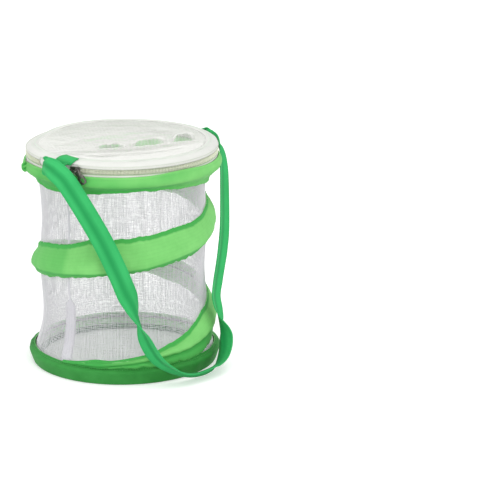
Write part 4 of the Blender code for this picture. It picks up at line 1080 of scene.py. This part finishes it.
rows, layers = [], []
for i in range(96):
    height = 5.6 + (188.0 - 5.6) * i / 95
    high = clamped((height - 74) / 6)
    wide = 7.0 - 5.6 * high
    row = []
    for j in range(9):
        side = (j / 4 - 1) * wide + 0.35 * noise.noise(Vector((height / 11, 2.2, 0)))
        azimuth = seam_middle(height) + math.degrees(side / NET_RADIUS)
        back = net_radius(azimuth, height) - 1.55 + 0.25 * noise.noise(Vector((height / 7, j / 3, 4)))
        row.append(at(back, azimuth, height))
    rows.append(row)
    layers.append([(1 - high) * mark for mark in (1, 1, 0, 0, 0, 0, 0, 1, 1)])
seam = cloth("seam_strip", rows, seam_cloth, 0.5, layers=layers)
tell(floor, floor_trim, seam)

# %% [markdown]
# ## The zip
# A coil zip is two nylon helices, one sewn along the edge of each tape, that catch in each other.
# At this size each turn can be seen from near, so both coils are made turn by turn. Geometry
# nodes wind them: points along a line are bent into a helix round the ring, and a thin section is
# swept along it. Both halves use one tree with other heights and half a turn of shift.

# %% The tree for a zip coil
coil_tree, given, end = new_tree("zip_coil", [
    ("Radius", "Float", 0.0958), ("Height", "Float", 0.218), ("Start", "Float", 0.0), ("Sweep", "Float", 5.0),
    ("Turns", "Int", 380), ("Shift", "Float", 0.0), ("Tall", "Float", 0.0014), ("Deep", "Float", 0.0009),
    ("Wire", "Float", 0.0003), ("Finish", "Material", None)])
total = sums(coil_tree, "MULTIPLY", given["Turns"], 8.0)
chain = put(coil_tree, "GeometryNodeMeshLine", {"Count": total})
share = sums(coil_tree, "DIVIDE", put(coil_tree, "GeometryNodeInputIndex").outputs[0], total)
angle = sums(coil_tree, "MULTIPLY_ADD", share, given["Sweep"], given["Start"])
phase = sums(coil_tree, "MULTIPLY_ADD", share, sums(coil_tree, "MULTIPLY", given["Turns"], 2 * math.pi),
             given["Shift"])
out = sums(coil_tree, "MULTIPLY_ADD", sums(coil_tree, "COSINE", phase), given["Deep"], given["Radius"])
up = sums(coil_tree, "MULTIPLY_ADD", sums(coil_tree, "SINE", phase), given["Tall"], given["Height"])
spot = put(coil_tree, "ShaderNodeCombineXYZ", {
    "X": sums(coil_tree, "MULTIPLY", sums(coil_tree, "COSINE", angle), out),
    "Y": sums(coil_tree, "MULTIPLY", sums(coil_tree, "SINE", angle), out), "Z": up})
wound = put(coil_tree, "GeometryNodeSetPosition", {"Geometry": chain.outputs[0], "Position": spot.outputs[0]})
coil = put(coil_tree, "GeometryNodeMeshToCurve", {"Mesh": wound.outputs[0]})
finish_tree(coil_tree, swept(coil_tree, coil.outputs[0], given["Wire"]), given["Finish"], end)

# %% Both coils
ZIP_START, ZIP_END = -113.5, 215.5


def seed_object(name):
    """An empty mesh for a tree that needs no former."""
    return add_object(name, bpy.data.meshes.new(name))


coils = []
for name, height, shift in (("coil_lower", 217.3, 0.0), ("coil_upper", 219.0, math.pi)):
    coils.append(made_by(
        coil_tree, seed_object("seed"), name, Radius=95.75 * MM, Height=height * MM,
        Start=math.radians(ZIP_START), Sweep=math.radians(ZIP_END - ZIP_START), Turns=520, Shift=shift,
        Tall=1.35 * MM, Deep=0.62 * MM, Wire=0.27 * MM, Finish=coil_nylon))
coil_lower, coil_upper = coils
for coil in coils:
    coil.data.shade_smooth()
    print(coil.name, triangles(coil), "triangles")

# %% [markdown]
# The tapes carry the coils. The lower one stands in the top sleeve's mouth. The upper one rises
# from the coil and rolls over as the lid's soft white shoulder, which creases along its length
# because it is cut straight and bends round a circle. The short stretch that the zip leaves
# closed is the lid's hinge, a gusset of the same tape that bends when the lid opens.

# %% Zip tapes, hinge gusset and lid binding
HINGE_MIDDLE, HINGE_HALF = -129, 15.9  # degrees
lower_line = ((95.6, 208.3), (95.6, 212.0), (95.65, 214.2), (95.3, 215.4), (94.5, 216.2), (94.4, 218.0))
rows, layers = [], []
for azimuth in RING_TURNS:
    row, marks = [], []
    for j, (radius, height) in enumerate(smooth_path(lower_line, 5)):
        free = clamped((height - 211) / 3) * (1 if height < 215.6 else 0.2)
        row.append(at(radius + 0.16 * free * ripple(azimuth, j / 6, 14, 30), azimuth, height))
        # Painted shadow: where the tape turns in under the coil it takes the grey-green colour.
        marks.append(0.9 if 214.7 < height < 216.1 else 0.0)
    rows.append(row)
    layers.append(marks)
tape_lower = cloth("tape_lower", rows, zip_cloth, 0.55, wrap=True, layers=layers)

rows, layers = [], []
for azimuth in RING_TURNS:
    in_hinge = abs((azimuth - HINGE_MIDDLE + 180) % 360 - 180) < HINGE_HALF
    foot = ((95.6, 223.75), (95.6, 223.85), (95.65, 223.95), (95.7, 224.05)) if in_hinge else (
        (94.4, 218.4), (94.5, 220.3), (95.8, 220.95), (96.35, 222.1))
    line = (*foot, (95.7 if in_hinge else 96.0, 224.0), (95.1, 225.3), (93.2, 226.6), (90.2, 227.25),
            (88.4, 227.4), (87.1, 227.3))
    row, marks = [], []
    path = smooth_path(line, 3)
    for j, (radius, height) in enumerate(path):
        free = math.sin(math.pi * clamped((height - 222.5) / 5.2)) if j < len(path) - 4 else 0.3
        crease = 0.5 * ripple(azimuth, j / 3.5, 22, 31) + 0.25 * ripple(azimuth, j / 2, 8, 32)
        inward = 0.7 * free * crease
        soft = slump(azimuth) * clamped((height - 222.4) / 2.5)
        row.append(at(radius + inward * 0.6 - 2.6 * soft, azimuth, height + inward * 0.5 - 3.3 * soft))
        # Painted shade: the tape's foot under the coil takes the grey-green colour, and two thin lines along the
        # shoulder's creases are darkened.
        edge = height < 220.9 and not in_hinge
        marks.append(0.8 if edge else 0.4 if 223.0 < height < 223.4 or 225.0 < height < 225.3 else 0.0)
    rows.append(row)
    layers.append(marks)
tape_upper = cloth("tape_upper", rows, zip_cloth, 0.55, wrap=True, layers=layers)

heights = (217.8, 218.6, 219.4, 220.2, 221, 221.8, 222.6, 223.2)
rows = [[at(95.6 + 0.15 * ripple(a, z / 4, 6, 33), a, z) for z in heights]
        for a in [-144.2 + 30.4 * i / 30 for i in range(31)]]
gusset = cloth("hinge_gusset", rows, zip_cloth, 0.55)

rows = []
for azimuth in RING_TURNS:
    sway = 0.25 * ripple(azimuth, 0, 16, 34)
    lift = 0.18 * ripple(azimuth, 0, 12, 35)
    line = ((84.2, 227.35), (85.0, 227.7), (86.0, 228.0), (87.0, 228.05), (88.0, 227.95), (88.9, 227.65))
    soft = slump(azimuth)
    rows.append([at(r + sway - 1.9 * soft, azimuth, z + lift - 3.3 * soft) for r, z in smooth_path(line, 2)])
trim_lid = cloth("lid_trim", rows, white_cloth, 0.3, wrap=True)
tell(tape_lower, tape_upper, gusset, trim_lid)

# %% [markdown]
# ## Slider and pull
# The slider is a small cast shell with a bail across it, and the pull is stamped plate. Their
# shapes are right in the plain model but every edge there is knife-sharp, and metal is known by
# the light on its edges. So each is a copy with its corners joined and its edges rounded over.

# %% Slider and pull
slider = copy_of("slider_body", "slider_shell", dark_metal, bevel=0.22)
pull = copy_of("zip_pull", "pull_plate", dark_metal, bevel=0.16)
print("slider:", triangles(slider), "triangles; pull:", triangles(pull), "triangles")

# %% [markdown]
# ## The strap
# The strap is one length of 20 mm webbing. It curls out of its tab at the lid's seam, crosses the front on the slant,
# twists once near the foot, lies along the table, and climbs the far side to a patch under the top ring. A cloth
# simulation would lose its crisp edges, so its path is listed instead: each row of the table is a place and the way
# that the width points there, and a smooth curve runs through them. The webbing is folded lengthwise once, which leaves
# a low ridge.

# %% The strap's ribbon
STRAP = (  # azimuth, radius, height, the way the width turns from the ring's direction, and its tilt
    (-128.6, 101.2, 221.3, 180, 20), (-131.0, 104.8, 219.9, 150, 66), (-131.8, 107.6, 222.8, 2, 54),
    (-128.0, 110.9, 224.2, -6, 46), (-122.0, 111.9, 218.8, -48, 37), (-115.0, 110.9, 206.1, -44, 36),
    (-100.0, 107.4, 159.1, -28, 25), (-91.0, 106.0, 123.2, -14, 23), (-86.0, 106.0, 100.1, -19, 25),
    (-83.0, 106.0, 87.0, -50, 12), (-80.0, 107.0, 69.4, -84, -12), (-76.8, 108.0, 53.8, -120, -20),
    (-73.4, 108.0, 39.8, -128, -16), (-69.0, 108.9, 27.6, -118, -24), (-62.0, 109.9, 17.4, -98, -28),
    (-55.0, 111.4, 10.6, -70, -30), (-48.0, 110.9, 7.5, -62, -33), (-40.0, 110.9, 7.2, -56, -38),
    (-32.0, 111.0, 8.2, -58, -38), (-24.5, 109.0, 11.8, -60, -32), (-19.0, 107.2, 18.5, -54, -26),
    (-16.4, 105.4, 27.5, -46, -18), (-15.4, 103.8, 38.0, -28, -12), (-15.0, 101.0, 49.5, 2, -14),
    (-14.4, 98.0, 60.0, 16, -16), (-12.4, 95.4, 70.5, 18, -14), (-6.5, 95.4, 82.0, 26, -12),
    (1.0, 97.2, 95.0, 34, -12), (6.8, 100.2, 110.0, 41, -14), (11.2, 103.4, 133.1, 45, -18),
    (15.0, 104.9, 177.0, 46, -18), (18.0, 105.6, 196.0, 44, -16), (22.5, 106.4, 208.5, 36, -14),
    (28.0, 106.0, 215.6, 22, -14), (33.0, 105.0, 219.2, 8, -10), (37.5, 103.8, 221.4, 0, -6),
    (41.5, 103.0, 222.2, 0, -4), (45.5, 102.6, 220.4, 0, -4), (49.5, 102.4, 214.6, 0, 0),
    (52.7, 101.6, 205.0, 0, 0),
)


def strap_station(azimuth, radius, height, turn, tilt):
    """A place on the strap's middle line and the direction of its width."""
    turn, tilt = math.radians(turn), math.radians(tilt)
    level = at(1000, azimuth + 90, 0) * math.cos(turn) + at(1000, azimuth, 0) * math.sin(turn)
    return at(radius, azimuth, height), level * math.cos(tilt) + Vector((0, 0, math.sin(tilt)))


stations = [strap_station(-124.6, 97.15, 223.5, 180, 0), *(strap_station(*row) for row in STRAP)]
line = smooth_path([place for place, _ in stations], 9)
widths = smooth_path([width for _, width in stations], 9)
for i in range(1, len(widths)):
    if widths[i].dot(widths[i - 1]) < 0:
        widths[i] = -widths[i]
rows = []
HALF, RIDGE = 10.0, 1.4
for i, (place, width) in enumerate(zip(line, widths)):
    ahead, across = line[min(i + 1, len(line) - 1)] - line[max(i - 1, 0)], width.normalized()
    face = ahead.cross(across).normalized()
    folded = 1 + 1.0 * math.exp(-((place.z / MM - 32) / 16) ** 2) * (place.x > 92 * MM)
    row = []
    for j in range(17):
        side = HALF * (j / 8 - 1)
        ridge = 1.6 - (0.2 if side > RIDGE else 0.34) * abs(side - RIDGE) * folded
        wave = 0.2 * noise.noise(Vector((i / 14, side / 7, 6)))
        spot = place + (across * side + face * (ridge + wave)) * MM
        spot.z = max(spot.z, 0.8 * MM)
        row.append(spot)
    rows.append(row)
# Painted shade: a deeper stripe along the flank of the lengthwise fold that looks away from the light.
PAINTED_FOLD_SHADE = {4: 0.2, 5: 0.5, 6: 0.8, 7: 0.9, 8: 0.8, 9: 0.6, 10: 0.3}
strap = cloth("strap_ribbon", rows, webbing, 1.1,
              layers=[[0.3 if j in (1, 15) else PAINTED_FOLD_SHADE.get(j, 0) for j in range(17)] for _ in rows])
strap_length = sum((b - a).length for a, b in zip(line, line[1:]))
print("strap:", round(strap_length * 1000), "mm long,", triangles(strap), "triangles")

# %% [markdown]
# The strap's ends are sewn down under short patches of the same webbing: one on the lid's
# shoulder in front, which folds over the seam, and one under the top ring behind. At the left
# the sleeve's own end is gathered into a small knot, where the maker pulled the wire through
# and tied off the cloth. It is a pleated tuft, which is made as a ball with folds.

# %% Tab, patch and the gathered knot
tab_line = smooth_path(((84.0, 228.7), (88.0, 228.9), (90.6, 228.6), (93.9, 227.7), (95.9, 226.2), (97.0, 224.6),
                        (97.3, 222.8)), 5)


def tab_place(across, down):
    """A place on the slanting tab: across from -1 to 1, down from 0 at its upper edge to 1."""
    share = 0.16 + 0.16 * across + (0.84 - 0.16 * across) * down
    k = min(share, 0.9999) * (len(tab_line) - 1)
    low, high = tab_line[int(k)], tab_line[int(k) + 1]
    radius, height = low.lerp(high, k % 1)
    return at(radius, -121.0 - 3.2 * down + 6.2 * across, height)


rows = [[tab_place(j / 6 - 1, i / 24) for j in range(13)] for i in range(25)]
tab = cloth("strap_tab", rows, webbing, 1.0, layers=[[0.3 if j in (1, 11) else 0 for j in range(13)] for _ in rows])

PATCH_AZIMUTH, PATCH_HALF = 53, 5.7  # degrees
low, high = Vector((90.75, 196.1)), Vector((99.88, 202.4))
away = Vector((high.y - low.y, low.x - high.x)).normalized()
rows = []
for i in range(12):
    radius, height = low.lerp(high, i / 11) + away * 1.0
    rows.append([at(radius, PATCH_AZIMUTH + (j / 6 - 1) * PATCH_HALF, height) for j in range(13)])
patch = cloth("strap_patch", rows, webbing, 1.0)

knot_middle, knot_out = at(99.6, -163, 207.2), at(1000, -163, 0)
knot_side, knot_up = at(1000, -73, 0), Vector((0, 0, 1))
bm = bmesh.new()
bmesh.ops.create_uvsphere(bm, u_segments=56, v_segments=24, radius=1)
for vert in bm.verts:
    turn, tall = math.atan2(vert.co.y, vert.co.x), vert.co.z
    pleat = 0.3 * math.sin(5 * turn + 2 * tall) * (1 - tall * tall) + 0.12 * noise.noise(vert.co * 3)
    wide = 3.9 * (1 + pleat) * (0.62 if tall < -0.3 else 1.0)
    dent = 2.6 * math.exp(-(vert.co.x ** 2 + vert.co.y ** 2) * 7) if tall > 0 else 0.0
    spot = Vector((vert.co.x * wide, vert.co.y * wide * 1.1, vert.co.z * 4.2 - dent))
    vert.co = knot_middle + (knot_side * spot.x + knot_up * spot.y + knot_out * spot.z) * MM
bmesh.ops.recalc_face_normals(bm, faces=bm.faces)
mesh = bpy.data.meshes.new("gathered_knot")
bm.to_mesh(mesh)
bm.free()
lay_map(mesh, [tuple(mesh.vertices[loop.vertex_index].co.yz) for loop in mesh.loops])
paint(mesh, "layers", [
    min(max(1.9 - ((v.co / MM - knot_middle / MM).length - 1.4) / 2.4, 0.1), 1.0) for v in mesh.vertices])
mesh.materials.append(green_cloth)
mesh.shade_smooth()
knot = add_object("gathered_knot", mesh)
tell(tab, patch, knot)

# %% [markdown]
# ## Stitches
# Sewing holds all of this together, and from near its rows of stitches say how the cage was made.
# Each stitch is a tiny bead of thread laid along a path. The tree measures the path, sets points
# at an even pitch, turns a stretched ball along it at each, and makes them real. The paths are
# written down roughly, and every point is then put on the nearest place of its cloth's face.

# %% The tree for a row of stitches
stitch_tree, given, end = new_tree("row_of_stitches", [
    ("Pitch", "Float", 0.0026), ("Long", "Float", 0.0009), ("Thread", "Float", 0.0002), ("Finish", "Material", None)])
path = put(stitch_tree, "GeometryNodeMeshToCurve", {"Mesh": given["Geometry"]})
even = put(stitch_tree, "GeometryNodeResampleCurve", {"Curve": path.outputs[0], "Length": given["Pitch"]},
           mode="LENGTH")
spots = put(stitch_tree, "GeometryNodeCurveToPoints", {"Curve": even.outputs[0]}, mode="EVALUATED")
bead = put(stitch_tree, "GeometryNodeMeshUVSphere", {"Segments": 5, "Rings": 4, "Radius": 1.0})
shape = put(stitch_tree, "ShaderNodeCombineXYZ", {
    "X": given["Thread"], "Y": given["Thread"], "Z": given["Long"]}).outputs[0]
rows_of = put(stitch_tree, "GeometryNodeInstanceOnPoints", {
    "Points": spots.outputs["Points"], "Instance": bead.outputs["Mesh"], "Rotation": spots.outputs["Rotation"],
    "Scale": shape})
finish_tree(stitch_tree, rows_of.outputs[0], given["Finish"], end)


def stitches(body, name, points, finish, on, pitch=2.6, long=0.9, thread=0.2, closed=False):
    """Lay a row of stitches on a cloth's face along points in metres, and keep it with its body."""
    placed = []
    for point in points:
        hit, spot, normal, _ = on.closest_point_on_mesh(point)
        placed.append(spot + normal * 0.1 * MM if hit else point)
    count = len(placed)
    edges = [(i, (i + 1) % count) for i in range(count if closed else count - 1)]
    path = seed_object("path")
    path.data.from_pydata(placed, edges, [])
    row = made_by(stitch_tree, path, "stitches_" + name, Pitch=pitch * MM, Long=long * MM, Thread=thread * MM,
                  Finish=finish)
    row.data.shade_smooth()
    sewn[body].append(row)


# %% Every row of stitches, and the body it moves with
sewn = {"top": [], "lid": [], "base": [], "pressed": []}
RING_STITCHES = (  # body, name, radius, height and how it rises, thread, cloth, and its sizes in mm
    ("top", "top_hem", 89.2, 195.6, hem_rise, green_thread, top_sleeve, {"thread": 0.14}),
    ("top", "mouth", 98.6, 211.0, mouth_rise, green_thread, top_sleeve, {"thread": 0.14}),
    ("top", "tape_low", 96.6, 213.7, None, pale_thread, tape_lower, {"pitch": 2.2}),
    ("lid", "tape_high", 96.6, 222.9, None, pale_thread, tape_upper, {"pitch": 2.2}),
    ("lid", "lid_seam", 87.6, 229.2, None, mint_thread, trim_lid, {"pitch": 2.0, "long": 0.75, "thread": 0.18}),
    ("lid", "lid_inner", 85.6, 229.2, None, pale_thread, trim_lid, {"long": 0.7, "thread": 0.1}),
    ("lid", "shoulder", 90.2, 228.2, None, mint_thread, tape_upper, {"pitch": 2.4, "thread": 0.14}),
    ("base", "bottom_hem", 93.8, 16.4, None, green_thread, bottom_sleeve, {"thread": 0.14}),
    ("base", "floor", 88.2, 3.2, None, green_thread, floor_trim, {"pitch": 3.2, "long": 1.1, "thread": 0.28}),
)
for body, name, radius, height, rise, thread, on, sizes in RING_STITCHES:
    path = [at(radius, 1.5 * i, height + (rise(1.5 * i) if rise else 0)) for i in range(240)]
    stitches(body, name, path, thread, on, closed=True, **sizes)
for name, column in (("band_high", 8), ("band_low", 23)):
    path = [row[column] + at(1, turn, 0) for turn, (row, _) in zip(turns, made_rows)]
    stitches("pressed", name, path, green_thread, spiral_band, thread=0.12)
for name, side in (("seam_left", -6.0), ("seam_right", 6.0)):
    turn = math.degrees(side / NET_RADIUS)
    path = [at(net_radius(-128, z) - 1.0, seam_middle(z) + turn, z) for z in range(7, 73, 2)]
    stitches("pressed", name, path, pale_thread, seam)


def box_path():
    """Places round the stitched box on the strap's two ends: across from -1 to 1, and down."""
    box = [(-0.8, 0.1), (0.8, 0.1), (0.8, 0.62), (-0.8, 0.62)]
    return [(ax + (bx - ax) * k / 8, ay + (by - ay) * k / 8)
            for (ax, ay), (bx, by) in zip(box, box[1:] + box[:1]) for k in range(8)]


path = []
for across, down in box_path():
    spot = tab_place(across, down)
    path.append(spot + Vector((spot.x, spot.y, 0)).normalized() * MM + Vector((0, 0, MM)))
stitches("lid", "tab", path, green_thread, tab, closed=True, pitch=1.9, long=0.7)
path = []
for across, down in box_path():
    radius, height = low.lerp(high, 0.15 + down) + away * 2
    path.append(at(radius, PATCH_AZIMUTH + PATCH_HALF * across, height))
stitches("top", "patch", path, green_thread, patch, closed=True, pitch=1.9, long=0.7)
print("stitch rows:", sum(len(rows) for rows in sewn.values()),
      "with", sum(triangles(row) for rows in sewn.values() for row in rows), "triangles")

# %% [markdown]
# ## What moves with what
# Each piece rides on the body that carries it, and stands for the plain solid it replaces. When the cage is pressed
# flat the net, the spiral and its sleeve squash down onto the bottom ring, and the strap crumples from its top, so
# these pieces get meshes of their own. The hinge gusset replaces the plain one and stays where it is.

# %% Rides and replacements
RIDES = (
    (net, "base", "side_net", "white_net"), (seam, "base", "side_seam_tape", "white_tape"),
    (spring, "base", "spiral_wire", "spring_wire"), (cap_up, "base", "spiral_wire_cap_upper", "crimp"),
    (cap_low, "base", "spiral_wire_cap_lower", "crimp"), (spiral_band, "base", "spiral_sleeve", "green_cloth"),
    (bottom_sleeve, "base", "bottom_ring_sleeve", "green_cloth"), (floor, "base", "floor_panel", "floor_cloth"),
    (floor_trim, "base", "floor_binding", "dark_binding"), (top_sleeve, "top", "top_ring_sleeve", "green_cloth"),
    (tape_lower, "top", "zip_tape_lower", "white_tape"), (coil_lower, "top", "zip_teeth_lower", "zip_teeth"),
    (patch, "top", "strap_patch_rear", "green_webbing"), (knot, "top", None, "green_cloth"),
    (lid_net, "lid", "lid_net", "white_net"), (lid_pleat, "lid", None, "white_net"),
    (trim_lid, "lid", "lid_binding", "white_tape"),
    (tape_upper, "lid", "zip_tape_upper", "white_tape"), (coil_upper, "lid", "zip_teeth_upper", "zip_teeth"),
    (tab, "lid", "strap_tab_front", "green_webbing"), (slider, "slider", "slider_body", "dark_metal"),
    (pull, "pull", "zip_pull", "dark_metal"), (strap, "strap", "shoulder_strap", "green_webbing"),
)
for piece, body, node, slot in RIDES:
    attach(piece, body)
    if node:
        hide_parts(node)
for body, rows in sewn.items():
    for row in rows:
        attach(row, "base" if body == "pressed" else body)
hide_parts("lid_hinge_gusset")
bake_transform(gusset)

# %% What is pressed flat
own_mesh(net)
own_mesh(seam)
for piece in (spring, cap_up, cap_low, spiral_band):
    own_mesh(piece)
for row in sewn["pressed"]:
    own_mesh(row)
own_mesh(strap)

# %% [markdown]
# Last, both boxes are printed, so that the dressed cage can be compared with the plain one.

# %% Print both boxes
dressed_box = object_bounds()
for low, high in (plain_box, dressed_box):
    print("box:", [round((b - a) * 1000, 1) for a, b in zip(low, high)], "mm")
